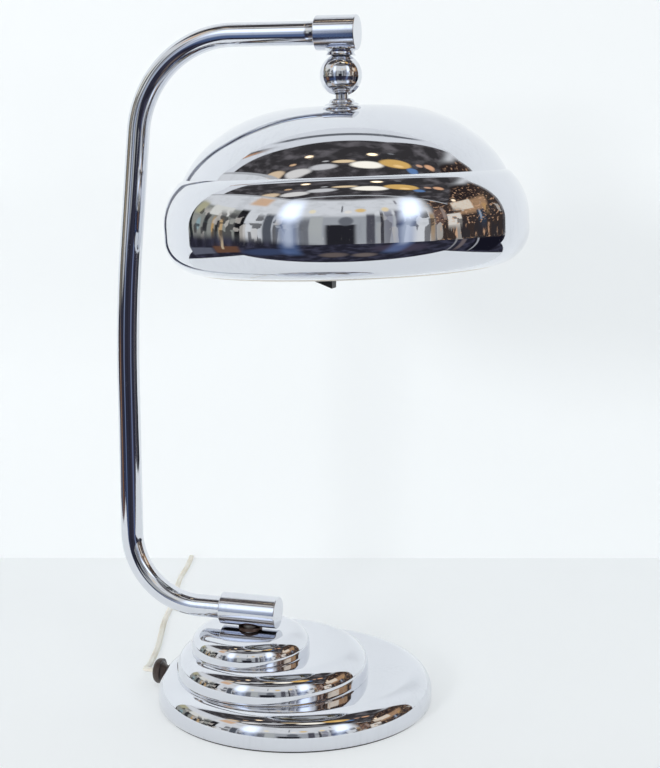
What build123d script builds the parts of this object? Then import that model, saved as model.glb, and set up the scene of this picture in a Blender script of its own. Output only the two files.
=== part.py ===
from build123d import *
import os
from math import asin, cos, dist, pi, radians, sin, tan

# Desk lamp with a stepped round base, a bent tube arm, a ball joint and a domed shade.
# Units are millimetres. The origin is the middle of the lowest step of the base, on the
# table. +Z is up, +X runs along the arm from the upright to the shade, +Y points back.

# Shared clearances
slip = 0.05
loose = 0.3
overrun = 1.0

# Base: three round steps, each smaller one set further off centre
step_radii = (88.0, 61.0, 37.3)
step_tops = (21.0, 39.0, 53.0)
step_shoulders = (14.0, 13.5, 11.0)
step_shifts = (0.0, 16.3, 32.0)
shift_direction = 226.0
shell_wall = 1.2
rim_lift = 1.5
pad_thickness = 2.0
plate_thickness = 1.5
weight_seat_gap = 0.3
weight_groove = 8.0
weight_groove_floor = 1.0
weight_well_radius = 13.0
plate_screw_radius = 2.0
plate_screw_head = 3.6
plate_screw_length = 9.0
plate_screw_circle = 52.0
screw_turn = 30.0

# Lead and its bushing in the side of the base
lead_diameter = 4.4
wire_diameter = 3.6
neck_wire_bend = 4.0
bushing_direction = 182.0
bushing_height = 9.0
bushing_neck_radius = 4.0
bushing_cone_radius = 6.4
bushing_disc_radius = 8.2
bushing_cone_length = 3.0
bushing_disc_length = 5.0
bushing_neck_length = 3.6
bushing_collar_radius = 5.0
bushing_collar_length = 2.0
bushing_face_radius = 3.6
bushing_face_depth = 3.0
wire_dive = 8.0
base_wire_bends = (10.0, 6.0)
arm_wire_bend = 4.5

# Arm tube and the two barrel connectors
tube_radius = 7.0
tube_wall = 1.25
upright_x = -101.7
lower_axis_z = 64.0
upper_axis_z = 417.0
lean_start_z = 250.0
lean_top_x = -86.0
lower_bend_radius = 45.0
lean_bend_radius = 900.0
upper_bend_radius = 62.0
connector_radius = 10.0
connector_edge = 0.6
lower_connector_length = 37.0
lower_socket_depth = 13.0
upper_connector_length = 24.6
upper_connector_lead = 14.7
upper_socket_depth = 9.0
wire_way_radius = 3.2
pipe_radius = 4.9
pipe_bore_radius = 3.0
grub_screw_radius = 1.5
grub_screw_length = 4.0

# Swivel under the lower connector
swivel_pipe_drop = 13.0
swivel_washer_radius = 7.5
swivel_nut_flat = 14.0
swivel_nut_thickness = 5.0
swivel_nut_chamfer = 0.5
swivel_spring_thickness = 1.0

# Ball joint
ball_x = 36.5
ball_z = 393.0
housing_radius = 12.3
socket_radius = 9.7
housing_top = 11.0
seam_groove = 0.25
seam_groove_height = 0.4
collar_radius = 9.3
collar_waist = 7.6
collar_height = 4.6
collar_foot = 8.7
collar_lip = 0.8
pivot_top = 5.0
neck_radius = 4.0
neck_end = 30.0
neck_bore_radius = 2.4
tilt_up = 30.0
tilt_down = 8.0
slot_spare = 2.0

# Ring and flange between the ball joint and the shade
ring_top = 13.6
ring_height = 2.4
ring_radius = 7.4
ring_neck_radius = 4.8
flange_height = 2.8
flange_radius = 10.8
flange_edge = 0.8
flange_top_radius = 6.4

# Shade, measured from the middle of the ball along its own leaning axis
shade_lean = 2.2
shade_wall = 1.0
seat_radius = 12.0
seat_drop = 18.8
crown_start = 18.0
crown_drop = 17.9
crown_flat = 24.0
crown_radius = 86.0
crown_end = 79.0
step_radius = 95.3
step_drop = 58.2
step_ledge = 1.0
belly_radius = 107.0
belly_top = 84.0
belly_bottom = 91.0
lip_bend = 20.0
lip_radius = 88.0
bead_radius = 1.2

# Lamp cluster inside the shade
stem_radius = 6.0
cluster_radius = 16.0
cluster_top = 74.0
cluster_height = 24.0
cluster_barrel_radius = 14.0
cluster_boss_radius = 11.0
cluster_edge = 2.0
bulb_axis_drop = 85.0
holder_radius = 12.0
holder_length = 28.0
holder_mouth_radius = 7.2
holder_mouth_depth = 20.0
cap_radius = 6.8
cap_length = 20.0
bulb_radius = 20.0
bulb_neck = 8.0
bulb_neck_length = 2.0
bulb_wall = 0.8
shade_nut_flat = 13.0
shade_nut_thickness = 4.0
shade_washer_radius = 9.0
shade_washer_thickness = 1.0

# Switch cup, its cover plate and the rocker switch
cup_radius = 42.0
cup_wall = 1.0
cup_edge = 3.0
cup_height = 17.0
cover_thickness = 1.2
cover_screw_radius = 1.5
cover_screw_head = 3.0
cover_screw_head_height = 0.8
cover_screw_length = 8.0
cover_screw_circle = 35.0
cover_boss_radius = 3.2
switch_x = -12.5
switch_y = -20.0
bezel_length = 31.0
bezel_width = 14.5
bezel_thickness = 1.8
switch_length = 27.8
switch_width = 12.0
switch_depth = 9.0
switch_wall = 1.3
rocker_half = 11.0
rocker_gap = 0.3
rocker_swing = 23.0
rocker_pivot_depth = 2.0
rocker_valley = 4.5
rocker_back = 3.0
rocker_pin_radius = 1.2
rocker_end_inset = 0.8
rocker_end_depth = 1.0
terminal_height = 4.0
terminal_width = 4.8
terminal_thickness = 0.8
terminal_spacing = 13.9

# Lead on the table, its coil and its plug
coil_outer = 36.0
coil_turn_gap = 0.5
coil_half_turns_in = 8
coil_half_turns_out = 7
coil_centre = (-150.0, 331.0)
coil_samples = 500
lead_exit = 6.6
tail_runs = 3
tail_run = 14.0
tail_turn = 18.0
plug_length = 30.0
plug_width = 24.0
plug_height = 14.0
plug_back_radius = 4.4
plug_taper = 12.0
plug_corner = 5.0
plug_edge = 1.5
blade_spacing = 12.7
blade_width = 6.35
blade_thickness = 1.5
blade_length = 17.0
blade_seat = 6.0
blade_hole_radius = 1.6
blade_hole_inset = 4.5

os.makedirs("parts", exist_ok=True)


def save(builder, name):
    """Labels a finished piece and writes it to its own file."""
    builder.part.label = name
    export_step(builder.part, f"parts/{name}.step")


def off_centre(shift):
    """The point on the table under a step that is set off by shift."""
    turn = radians(shift_direction)
    return (shift * cos(turn), shift * sin(turn))


def stepped_form(inset, first=0, last=3):
    """Adds the steps from first to last, drawn in by inset on every side."""
    steps = list(zip(step_radii, step_tops, step_shoulders, step_shifts))
    for radius, top, shoulder, shift in steps[first:last]:
        with BuildSketch(Plane((*off_centre(shift), 0))) as step:
            Circle(radius - inset)
        extrude(step.sketch, amount=top - inset)
        rim = edges().filter_by(GeomType.CIRCLE).group_by(Axis.Z)[-1]
        fillet(rim, shoulder - inset)


def section(origin, x_dir=(1, 0, 0)):
    """An upright plane for a turned profile: x away from the axis, y along it."""
    return Plane(origin=origin, x_dir=x_dir, z_dir=(0, -1, 0))


swivel_x, swivel_y = off_centre(step_shifts[2])
arm_plane = section((0, swivel_y, 0))
base_floor = pad_thickness + plate_thickness

# Base
with BuildPart() as base_hollow:
    stepped_form(shell_wall)
with BuildPart() as base_shell:
    stepped_form(0)
    add(base_hollow.part, mode=Mode.SUBTRACT)
    with BuildSketch():
        Circle(step_radii[0] + loose)
    extrude(amount=rim_lift, mode=Mode.SUBTRACT)
    with BuildSketch(Plane((swivel_x, swivel_y, 0))):
        Circle(pipe_radius + slip)
    extrude(amount=step_tops[2], mode=Mode.SUBTRACT)
    bushing_axis = Vector(cos(radians(bushing_direction)), sin(radians(bushing_direction)), 0)
    bushing_root = bushing_axis * step_radii[0] + Vector(0, 0, bushing_height)
    bushing_plane = Plane(origin=bushing_root, x_dir=(0, 0, 1), z_dir=bushing_axis)
    with BuildSketch(bushing_plane):
        Circle(bushing_neck_radius + slip)
    extrude(amount=-bushing_neck_length, mode=Mode.SUBTRACT)
save(base_shell, "base_shell")

with BuildPart() as foot_pad:
    with BuildSketch():
        Circle(step_radii[0] - shell_wall - loose)
    extrude(amount=pad_thickness)
save(foot_pad, "foot_pad")

plate_screws = PolarLocations(plate_screw_circle, 3, start_angle=screw_turn)
with BuildPart() as base_plate:
    with BuildSketch(Plane.XY.offset(pad_thickness)):
        Circle(step_radii[0] - shell_wall - slip)
        with plate_screws:
            Circle(plate_screw_radius + slip, mode=Mode.SUBTRACT)
    extrude(amount=plate_thickness)
    with BuildSketch(Plane.XY.offset(pad_thickness)):
        with plate_screws:
            Circle(plate_screw_head + slip)
    extrude(amount=plate_thickness / 2, mode=Mode.SUBTRACT)
save(base_plate, "base_plate")

groove_vector = bushing_axis * (step_radii[0] - bushing_neck_radius) - Vector(swivel_x, swivel_y, 0)
groove_floor = Plane(
    origin=(swivel_x, swivel_y, base_floor + weight_groove_floor), x_dir=groove_vector, z_dir=(0, 0, 1)
)
with BuildPart() as base_weight:
    stepped_form(shell_wall + weight_seat_gap, last=1)
    with BuildSketch():
        Circle(step_radii[0])
    extrude(amount=base_floor, mode=Mode.SUBTRACT)
    with BuildSketch(Plane((swivel_x, swivel_y, 0))):
        Circle(weight_well_radius)
    extrude(amount=step_tops[0], mode=Mode.SUBTRACT)
    with BuildSketch(groove_floor):
        with Locations((groove_vector.length / 2, 0)):
            Rectangle(groove_vector.length, weight_groove)
    extrude(amount=step_tops[0], mode=Mode.SUBTRACT)
    with BuildSketch(bushing_plane):
        Circle(bushing_collar_radius + loose)
    extrude(amount=-(bushing_neck_length + bushing_collar_length + loose), mode=Mode.SUBTRACT)
    with BuildSketch(Plane.XY.offset(base_floor)):
        with plate_screws:
            Circle(plate_screw_radius)
    extrude(amount=plate_screw_length, mode=Mode.SUBTRACT)
save(base_weight, "base_weight")

with BuildPart() as plate_screw_set:
    with BuildSketch(Plane.XY.offset(pad_thickness)):
        with plate_screws:
            Circle(plate_screw_head)
    extrude(amount=plate_thickness / 2)
    with BuildSketch(Plane.XY.offset(pad_thickness + plate_thickness / 2)):
        with plate_screws:
            Circle(plate_screw_radius)
    extrude(amount=plate_thickness / 2 + plate_screw_length - loose)
save(plate_screw_set, "base_plate_screws")

# Bushing in the side of the base, turned about its own level axis
bushing_section = Plane(
    origin=bushing_plane.origin, x_dir=(0, 0, 1), z_dir=Vector(0, 0, 1).cross(bushing_axis)
)
with BuildPart() as cord_bushing:
    with BuildSketch(bushing_section):
        with BuildLine():
            disc_end = bushing_cone_length + bushing_disc_length
            outline = Polyline(
                (wire_diameter / 2 + slip, -bushing_neck_length - bushing_collar_length),
                (bushing_collar_radius, -bushing_neck_length - bushing_collar_length),
                (bushing_collar_radius, -bushing_neck_length),
                (bushing_neck_radius, -bushing_neck_length),
                (bushing_neck_radius, 0),
                (bushing_cone_radius, bushing_cone_length),
                (bushing_disc_radius, bushing_cone_length),
                (bushing_disc_radius, disc_end - bushing_face_depth),
            )
            face = TangentArc(outline @ 1, (bushing_face_radius, disc_end), tangent=(0, 1))
            Polyline(face @ 1, (wire_diameter / 2 + slip, disc_end), outline @ 0)
        make_face()
    revolve(axis=Axis(bushing_plane.origin, bushing_axis))
save(cord_bushing, "cord_bushing")


# Swivel between the base and the lower connector
barrel_bottom = lower_axis_z - connector_radius
with BuildPart() as swivel_washer:
    with BuildSketch(Plane((swivel_x, swivel_y, step_tops[2]))):
        Circle(swivel_washer_radius)
        Circle(pipe_radius + slip, mode=Mode.SUBTRACT)
    extrude(amount=barrel_bottom - step_tops[2])
save(swivel_washer, "swivel_washer")

pipe_bottom = step_tops[2] - swivel_pipe_drop
with BuildPart() as swivel_pipe:
    with BuildSketch(Plane((swivel_x, swivel_y, pipe_bottom))):
        Circle(pipe_radius)
        Circle(pipe_bore_radius, mode=Mode.SUBTRACT)
    extrude(amount=lower_axis_z - wire_way_radius - pipe_bottom)
save(swivel_pipe, "swivel_pipe")

spring_top = step_tops[2] - shell_wall
with BuildPart() as swivel_spring:
    with BuildSketch(Plane((swivel_x, swivel_y, spring_top))):
        Circle(swivel_washer_radius)
        Circle(pipe_radius + slip, mode=Mode.SUBTRACT)
    extrude(amount=-swivel_spring_thickness)
save(swivel_spring, "swivel_spring")

with BuildPart() as swivel_nut:
    with BuildSketch(Plane((swivel_x, swivel_y, spring_top - swivel_spring_thickness))):
        RegularPolygon(swivel_nut_flat / 2, 6, major_radius=False)
        Circle(pipe_radius, mode=Mode.SUBTRACT)
    extrude(amount=-swivel_nut_thickness)
    chamfer(faces().sort_by(Axis.Z)[0].outer_wire().edges(), swivel_nut_chamfer)
save(swivel_nut, "swivel_nut")

# Lower connector, a barrel that takes the tube in its left end
lower_left = swivel_x - lower_connector_length / 2
lower_axis_plane = Plane(origin=(lower_left, swivel_y, lower_axis_z), x_dir=(0, 1, 0), z_dir=(1, 0, 0))
with BuildPart() as lower_connector:
    with BuildSketch(lower_axis_plane):
        Circle(connector_radius)
    extrude(amount=lower_connector_length)
    chamfer(edges().filter_by(GeomType.CIRCLE), connector_edge)
    with BuildSketch(lower_axis_plane):
        Circle(tube_radius)
    extrude(amount=lower_socket_depth, mode=Mode.SUBTRACT)
    with BuildSketch(lower_axis_plane):
        Circle(wire_way_radius)
    extrude(amount=lower_connector_length / 2 + wire_way_radius, mode=Mode.SUBTRACT)
    with BuildSketch(Plane((swivel_x, swivel_y, barrel_bottom - overrun))):
        Circle(pipe_radius)
    extrude(amount=connector_radius + overrun - wire_way_radius, mode=Mode.SUBTRACT)
    with BuildSketch(Plane((swivel_x, swivel_y, barrel_bottom - overrun))):
        Circle(pipe_bore_radius)
    extrude(amount=connector_radius + overrun, mode=Mode.SUBTRACT)
    with BuildSketch(Plane((lower_left + lower_socket_depth / 2, swivel_y, barrel_bottom - overrun))):
        Circle(grub_screw_radius)
    extrude(amount=grub_screw_length, mode=Mode.SUBTRACT)
save(lower_connector, "lower_connector")

# Arm tube, bent once at the bottom, slightly over its upper half and once at the top
upper_left = ball_x - upper_connector_lead
tube_start_x = lower_left + lower_socket_depth
tube_end_x = upper_left + upper_socket_depth
arm_corners = [
    (tube_start_x, lower_axis_z),
    (upright_x, lower_axis_z),
    (upright_x, lean_start_z),
    (lean_top_x, upper_axis_z),
    (tube_end_x, upper_axis_z),
]
arm_radii = [lower_bend_radius, lean_bend_radius, upper_bend_radius]
tube_mouth = Plane(origin=(tube_start_x, swivel_y, lower_axis_z), x_dir=(0, 1, 0), z_dir=(-1, 0, 0))
with BuildPart() as arm_tube:
    with BuildLine(arm_plane):
        FilletPolyline(*arm_corners, radius=arm_radii)
    with BuildSketch(tube_mouth):
        Circle(tube_radius)
        Circle(tube_radius - tube_wall, mode=Mode.SUBTRACT)
    sweep()
save(arm_tube, "arm_tube")

# Upper connector, a shorter barrel over the ball joint
upper_axis_plane = Plane(origin=(upper_left, swivel_y, upper_axis_z), x_dir=(0, 1, 0), z_dir=(1, 0, 0))
upper_barrel_bottom = upper_axis_z - connector_radius
with BuildPart() as upper_connector:
    with BuildSketch(upper_axis_plane):
        Circle(connector_radius)
    extrude(amount=upper_connector_length)
    chamfer(edges().filter_by(GeomType.CIRCLE), connector_edge)
    with BuildSketch(upper_axis_plane):
        Circle(tube_radius)
    extrude(amount=upper_socket_depth, mode=Mode.SUBTRACT)
    with BuildSketch(upper_axis_plane):
        Circle(wire_way_radius)
    extrude(amount=upper_connector_lead + wire_way_radius, mode=Mode.SUBTRACT)
    with BuildSketch(Plane((ball_x, swivel_y, upper_barrel_bottom - overrun))):
        Circle(pipe_radius)
    extrude(amount=connector_radius + overrun - wire_way_radius, mode=Mode.SUBTRACT)
    with BuildSketch(Plane((ball_x, swivel_y, upper_barrel_bottom - overrun))):
        Circle(pipe_bore_radius)
    extrude(amount=connector_radius + overrun, mode=Mode.SUBTRACT)
    with BuildSketch(Plane((upper_left + upper_socket_depth / 2, swivel_y, upper_barrel_bottom - overrun))):
        Circle(grub_screw_radius)
    extrude(amount=grub_screw_length, mode=Mode.SUBTRACT)
save(upper_connector, "upper_connector")

# Grub screws that clamp the tube in both barrels, from underneath
with BuildPart() as grub_screws:
    for x, z in (
        (lower_left + lower_socket_depth / 2, barrel_bottom),
        (upper_left + upper_socket_depth / 2, upper_barrel_bottom),
    ):
        with BuildSketch(Plane((x, swivel_y, z + loose))):
            Circle(grub_screw_radius)
            RegularPolygon(grub_screw_radius / 2, 6, mode=Mode.SUBTRACT)
        extrude(amount=connector_radius - tube_radius - loose)
save(grub_screws, "grub_screws")

# Pipe and waisted collar that carry the ball joint
ball_centre = Vector(ball_x, swivel_y, ball_z)
housing_plane = section(ball_centre)
housing_axis = Axis(ball_centre, (0, 0, 1))
joint_pipe_bottom = ball_z + (socket_radius**2 - pipe_bore_radius**2) ** 0.5
with BuildPart() as joint_pipe:
    with BuildSketch(Plane((ball_x, swivel_y, joint_pipe_bottom))):
        Circle(pipe_radius)
        Circle(pipe_bore_radius, mode=Mode.SUBTRACT)
    extrude(amount=upper_axis_z - wire_way_radius - joint_pipe_bottom)
save(joint_pipe, "joint_pipe")

collar_bottom = ball_z + housing_top + slip
with BuildPart() as joint_collar:
    with BuildSketch(housing_plane):
        with BuildLine():
            low = collar_bottom - ball_z
            high = low + collar_height
            foot = Line((pipe_radius, low), (collar_foot, low))
            waist = (collar_waist, (low + high) / 2)
            cove = ThreePointArc(foot @ 1, waist, (collar_radius, high - collar_lip))
            Polyline(cove @ 1, (collar_radius, high), (pipe_radius, high), foot @ 0)
        make_face()
    revolve(axis=housing_axis)
    with BuildSketch(upper_axis_plane):
        Circle(connector_radius)
    extrude(amount=upper_connector_length, mode=Mode.SUBTRACT)
save(joint_collar, "joint_collar")

# Ball housing: two half shells around the pivot ball, the lower one slotted for the neck
half_groove = seam_groove_height / 2
groove_edge = (housing_radius**2 - half_groove**2) ** 0.5
with BuildPart() as housing_upper:
    with BuildSketch(housing_plane):
        with BuildLine():
            Polyline(
                (socket_radius, 0),
                (housing_radius - seam_groove, 0),
                (housing_radius - seam_groove, half_groove),
                (groove_edge, half_groove),
            )
            top_edge = (housing_radius**2 - housing_top**2) ** 0.5
            RadiusArc((groove_edge, half_groove), (top_edge, housing_top), -housing_radius)
            bore = pipe_radius + slip
            bore_low = (socket_radius**2 - bore**2) ** 0.5
            Polyline((top_edge, housing_top), (bore, housing_top), (bore, bore_low))
            RadiusArc((bore, bore_low), (socket_radius, 0), socket_radius)
        make_face()
    revolve(axis=housing_axis)
save(housing_upper, "housing_upper")

neck_angle = 180 / pi * asin(neck_radius / socket_radius)
slot_right = neck_angle + tilt_up + slot_spare + shade_lean
slot_left = neck_angle + tilt_down + slot_spare - shade_lean
with BuildPart() as housing_lower:
    with BuildSketch(housing_plane):
        with BuildLine():
            mouth = radians(neck_angle)
            Polyline(
                (socket_radius, 0),
                (housing_radius - seam_groove, 0),
                (housing_radius - seam_groove, -half_groove),
                (groove_edge, -half_groove),
            )
            mouth_outer = (housing_radius * sin(mouth), -housing_radius * cos(mouth))
            mouth_inner = (socket_radius * sin(mouth), -socket_radius * cos(mouth))
            RadiusArc((groove_edge, -half_groove), mouth_outer, housing_radius)
            Line(mouth_outer, mouth_inner)
            RadiusArc(mouth_inner, (socket_radius, 0), -socket_radius)
        make_face()
    revolve(axis=housing_axis)
    with BuildSketch(housing_plane):
        reach = 2 * housing_radius
        Polygon(
            (0, 0),
            (reach * sin(radians(slot_right)), -reach * cos(radians(slot_right))),
            (0, -2 * reach),
            (-reach * sin(radians(slot_left)), -reach * cos(radians(slot_left))),
            align=None,
        )
    extrude(amount=neck_radius + slip, both=True, mode=Mode.SUBTRACT)
save(housing_lower, "housing_lower")

# Pivot ball and its neck, on the shade's own leaning axis
lean = radians(shade_lean)
shade_up = Vector(-sin(lean), 0, cos(lean))
shade_right = Vector(cos(lean), 0, sin(lean))
shade_plane = section(ball_centre, x_dir=shade_right)
shade_axis = Axis(ball_centre, shade_up)


def below_ball(drop):
    """A plane square to the shade's axis, drop below the middle of the ball."""
    return Plane(origin=ball_centre - shade_up * drop, x_dir=shade_right, z_dir=shade_up)


with BuildPart() as pivot_ball:
    with BuildSketch(shade_plane):
        with BuildLine():
            ball_radius = socket_radius - slip
            top_rim = ((ball_radius**2 - pivot_top**2) ** 0.5, pivot_top)
            neck_start = (neck_radius, -((ball_radius**2 - neck_radius**2) ** 0.5))
            bore_top = (neck_bore_radius, pivot_top)
            Line(bore_top, top_rim)
            RadiusArc(top_rim, neck_start, ball_radius)
            Polyline(neck_start, (neck_radius, -neck_end), (neck_bore_radius, -neck_end), bore_top)
        make_face()
    revolve(axis=shade_axis)
save(pivot_ball, "pivot_ball")

with BuildPart() as neck_ring:
    with BuildSketch(shade_plane):
        with BuildLine():
            ring_low = -ring_top - ring_height
            Polyline((neck_radius, ring_low), (ring_radius, ring_low), (ring_radius, ring_low + flange_edge))
            RadiusArc((ring_radius, ring_low + flange_edge), (ring_neck_radius, -ring_top), -ring_height * 2)
            Polyline((ring_neck_radius, -ring_top), (neck_radius, -ring_top), (neck_radius, ring_low))
        make_face()
    revolve(axis=shade_axis)
save(neck_ring, "neck_ring")

with BuildPart() as shade_flange:
    with BuildSketch(shade_plane):
        with BuildLine():
            flange_top = -seat_drop + flange_height
            flange_rim = (flange_radius, -seat_drop + flange_edge)
            Polyline((neck_radius, -seat_drop), (flange_radius, -seat_drop), flange_rim)
            RadiusArc(flange_rim, (flange_top_radius, flange_top), -flange_radius)
            Polyline((flange_top_radius, flange_top), (neck_radius, flange_top), (neck_radius, -seat_drop))
        make_face()
    revolve(axis=shade_axis)
save(shade_flange, "shade_flange")

# Shade, one spun shell with a flat seat, a crown, a step and a round lip with a rolled edge
crown_slope = asin((crown_end - crown_flat) / crown_radius)
crown_end_drop = crown_drop + crown_radius * (1 - cos(crown_slope))
dish_middle = (seat_radius + crown_start) / 2
with BuildPart() as shade:
    with BuildSketch(shade_plane):
        with BuildLine():
            seat = Line((neck_radius + slip, -seat_drop), (seat_radius, -seat_drop))
            dish = TangentArc(seat @ 1, (dish_middle, -(seat_drop + crown_drop) / 2), tangent=(1, 0))
            rise = TangentArc(dish @ 1, (crown_start, -crown_drop), tangent=dish % 1)
            flat = Line(rise @ 1, (crown_flat, -crown_drop))
            crown = TangentArc(flat @ 1, (crown_end, -crown_end_drop), tangent=(1, 0))
            shoulder = TangentArc(crown @ 1, (step_radius, -step_drop), tangent=crown % 1)
            ledge = Line(shoulder @ 1, (step_radius + step_ledge, -step_drop - step_ledge / 2))
            belly = TangentArc((belly_radius, -belly_top), ledge @ 1, tangent=(0, 1))
            side = Line((belly_radius, -belly_top), (belly_radius, -belly_bottom))
            lip = TangentArc(side @ 1, (belly_radius - lip_bend, -belly_bottom - lip_bend), tangent=(0, -1))
            offset(amount=shade_wall, side=Side.RIGHT)
        make_face()
        with Locations((belly_radius - lip_bend, -belly_bottom - lip_bend + shade_wall / 2)):
            Circle(bead_radius)
    revolve(axis=shade_axis)
save(shade, "shade")

# Fixings that hold the shade on the neck, from inside
inside_drop = seat_drop + shade_wall
with BuildPart() as shade_washer:
    with BuildSketch(below_ball(inside_drop)):
        Circle(shade_washer_radius)
        Circle(neck_radius + slip, mode=Mode.SUBTRACT)
    extrude(amount=-shade_washer_thickness)
save(shade_washer, "shade_washer")

with BuildPart() as shade_nut:
    with BuildSketch(below_ball(inside_drop + shade_washer_thickness)):
        RegularPolygon(shade_nut_flat / 2, 6, major_radius=False)
        Circle(neck_radius, mode=Mode.SUBTRACT)
    extrude(amount=-shade_nut_thickness)
save(shade_nut, "shade_nut")

stem_drop = inside_drop + shade_washer_thickness + shade_nut_thickness
with BuildPart() as cluster_stem:
    with BuildSketch(below_ball(stem_drop)):
        Circle(stem_radius)
        Circle(neck_radius, mode=Mode.SUBTRACT)
    extrude(amount=-(cluster_top - stem_drop))
save(cluster_stem, "cluster_stem")

# Cluster body with a boss on each side for a lampholder
cluster_sides = (-1, 1)
cup_drop = cluster_top + cluster_height


def beside_stem(side, distance, drop=bulb_axis_drop):
    """A plane that faces outwards at a distance to one side of the stem."""
    origin = ball_centre - shade_up * drop + shade_right * side * distance
    return Plane(origin=origin, x_dir=(0, 1, 0), z_dir=shade_right * side)


with BuildPart() as cluster_body:
    with BuildSketch(below_ball(cup_drop)):
        Circle(cluster_barrel_radius)
    extrude(amount=cluster_height)
    fillet(edges().filter_by(GeomType.CIRCLE), cluster_edge)
    for side in cluster_sides:
        with BuildSketch(beside_stem(side, 0)):
            Circle(cluster_boss_radius)
        extrude(amount=cluster_radius)
    with BuildSketch(below_ball(cup_drop)):
        Circle(neck_radius)
    extrude(amount=cluster_height, mode=Mode.SUBTRACT)
save(cluster_body, "cluster_body")

with BuildPart() as lampholders:
    for side in cluster_sides:
        with BuildSketch(beside_stem(side, cluster_radius)):
            Circle(holder_radius)
        extrude(amount=holder_length)
        with BuildSketch(beside_stem(side, cluster_radius + holder_length)):
            Circle(holder_mouth_radius)
        extrude(amount=-holder_mouth_depth, mode=Mode.SUBTRACT)
save(lampholders, "lampholders")

mouth_distance = cluster_radius + holder_length
with BuildPart() as bulb_caps:
    for side in cluster_sides:
        with BuildSketch(beside_stem(side, mouth_distance)):
            Circle(cap_radius)
        extrude(amount=-cap_length)
save(bulb_caps, "bulb_caps")

globe_middle = bulb_neck_length + (bulb_radius**2 - bulb_neck**2) ** 0.5
globe_end = globe_middle + bulb_radius
with BuildPart() as bulbs:
    for side in cluster_sides:
        mouth = beside_stem(side, mouth_distance)
        with BuildSketch(Plane(origin=mouth.origin, x_dir=mouth.z_dir, z_dir=(0, -1, 0))):
            with BuildLine():
                Line((0, bulb_neck), (bulb_neck_length, bulb_neck))
                ThreePointArc((bulb_neck_length, bulb_neck), (globe_middle, bulb_radius), (globe_end, 0))
                offset(amount=bulb_wall, side=Side.RIGHT)
            make_face()
        revolve(axis=Axis(mouth.origin, mouth.z_dir))
save(bulbs, "bulbs")

# Switch cup under the cluster, with three bosses for the screws of its cover
cover_drop = cup_drop + cup_height
cup_depth = cup_height - cover_thickness
cover_screws = PolarLocations(cover_screw_circle, 3, start_angle=screw_turn)
with BuildPart() as switch_cup:
    with BuildSketch(shade_plane):
        with BuildLine():
            top = Line((neck_radius, -cup_drop), (cup_radius - cup_edge, -cup_drop))
            shoulder = TangentArc(top @ 1, (cup_radius, -cup_drop - cup_edge), tangent=(1, 0))
            Line(shoulder @ 1, (cup_radius, -cup_drop - cup_depth))
            offset(amount=cup_wall, side=Side.RIGHT)
        make_face()
    revolve(axis=shade_axis)
    with BuildSketch(below_ball(cup_drop + cup_depth)):
        with cover_screws:
            Circle(cover_boss_radius)
            Circle(cover_screw_radius, mode=Mode.SUBTRACT)
    extrude(amount=cup_depth - cup_wall)
save(switch_cup, "switch_cup")

with BuildPart() as switch_cover:
    with BuildSketch(below_ball(cover_drop)):
        Circle(cup_radius)
        with cover_screws:
            Circle(cover_screw_radius + slip, mode=Mode.SUBTRACT)
        with Locations((switch_x, switch_y)):
            Rectangle(switch_length + 2 * slip, switch_width + 2 * slip, mode=Mode.SUBTRACT)
    extrude(amount=cover_thickness)
save(switch_cover, "switch_cover")

with BuildPart() as cover_screw_set:
    with BuildSketch(below_ball(cover_drop)):
        with cover_screws:
            Circle(cover_screw_head)
    extrude(amount=-cover_screw_head_height)
    with BuildSketch(below_ball(cover_drop)):
        with cover_screws:
            Circle(cover_screw_radius)
    extrude(amount=cover_screw_length)
save(cover_screw_set, "switch_cover_screws")

# Rocker switch: a body with a bezel, two terminals and the rocker on its pin
rocker_pivot = below_ball(cover_drop - rocker_pivot_depth).from_local_coords((switch_x, switch_y, 0))
recess_length = switch_length - 2 * switch_wall
recess_width = switch_width - 2 * switch_wall
rocker_turn = lean - radians(rocker_swing / 2)
rocker_right = Vector(cos(rocker_turn), 0, sin(rocker_turn))
rocker_section = section(rocker_pivot, x_dir=rocker_right)
with BuildPart() as switch_body:
    with BuildSketch(below_ball(cover_drop)):
        with Locations((switch_x, switch_y)):
            Rectangle(switch_length, switch_width)
    extrude(amount=switch_depth)
    with BuildSketch(below_ball(cover_drop)):
        with Locations((switch_x, switch_y)):
            RectangleRounded(bezel_length, bezel_width, bezel_thickness)
    extrude(amount=-bezel_thickness)
    with BuildSketch(below_ball(cover_drop + bezel_thickness)):
        with Locations((switch_x, switch_y)):
            Rectangle(recess_length, recess_width)
    extrude(amount=switch_depth + bezel_thickness - switch_wall, mode=Mode.SUBTRACT)
    with BuildSketch(rocker_section):
        Circle(rocker_pin_radius + slip)
    extrude(amount=switch_width / 2 - switch_wall / 2 + slip, both=True, mode=Mode.SUBTRACT)
save(switch_body, "switch_body")

with BuildPart() as switch_terminals:
    with BuildSketch(below_ball(cover_drop - switch_depth)):
        with Locations((switch_x, switch_y)):
            with GridLocations(terminal_spacing, 0, 2, 1):
                Rectangle(terminal_thickness, terminal_width)
    extrude(amount=terminal_height)
save(switch_terminals, "switch_terminals")

with BuildPart() as rocker:
    with BuildSketch(rocker_section):
        tip_depth = rocker_valley + rocker_half * tan(radians(rocker_swing / 2))
        with BuildLine():
            Polyline(
                (-rocker_half, -tip_depth),
                (0, -rocker_valley),
                (rocker_half, -tip_depth),
                (rocker_half - rocker_end_inset, -rocker_end_depth),
                (rocker_back, rocker_back),
                (-rocker_back, rocker_back),
                (-rocker_half + rocker_end_inset, -rocker_end_depth),
                close=True,
            )
        make_face()
    extrude(amount=recess_width / 2 - rocker_gap, both=True)
    with BuildSketch(rocker_section):
        Circle(rocker_pin_radius)
    extrude(amount=switch_width / 2 - switch_wall / 2, both=True)
save(rocker, "switch_rocker")

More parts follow.
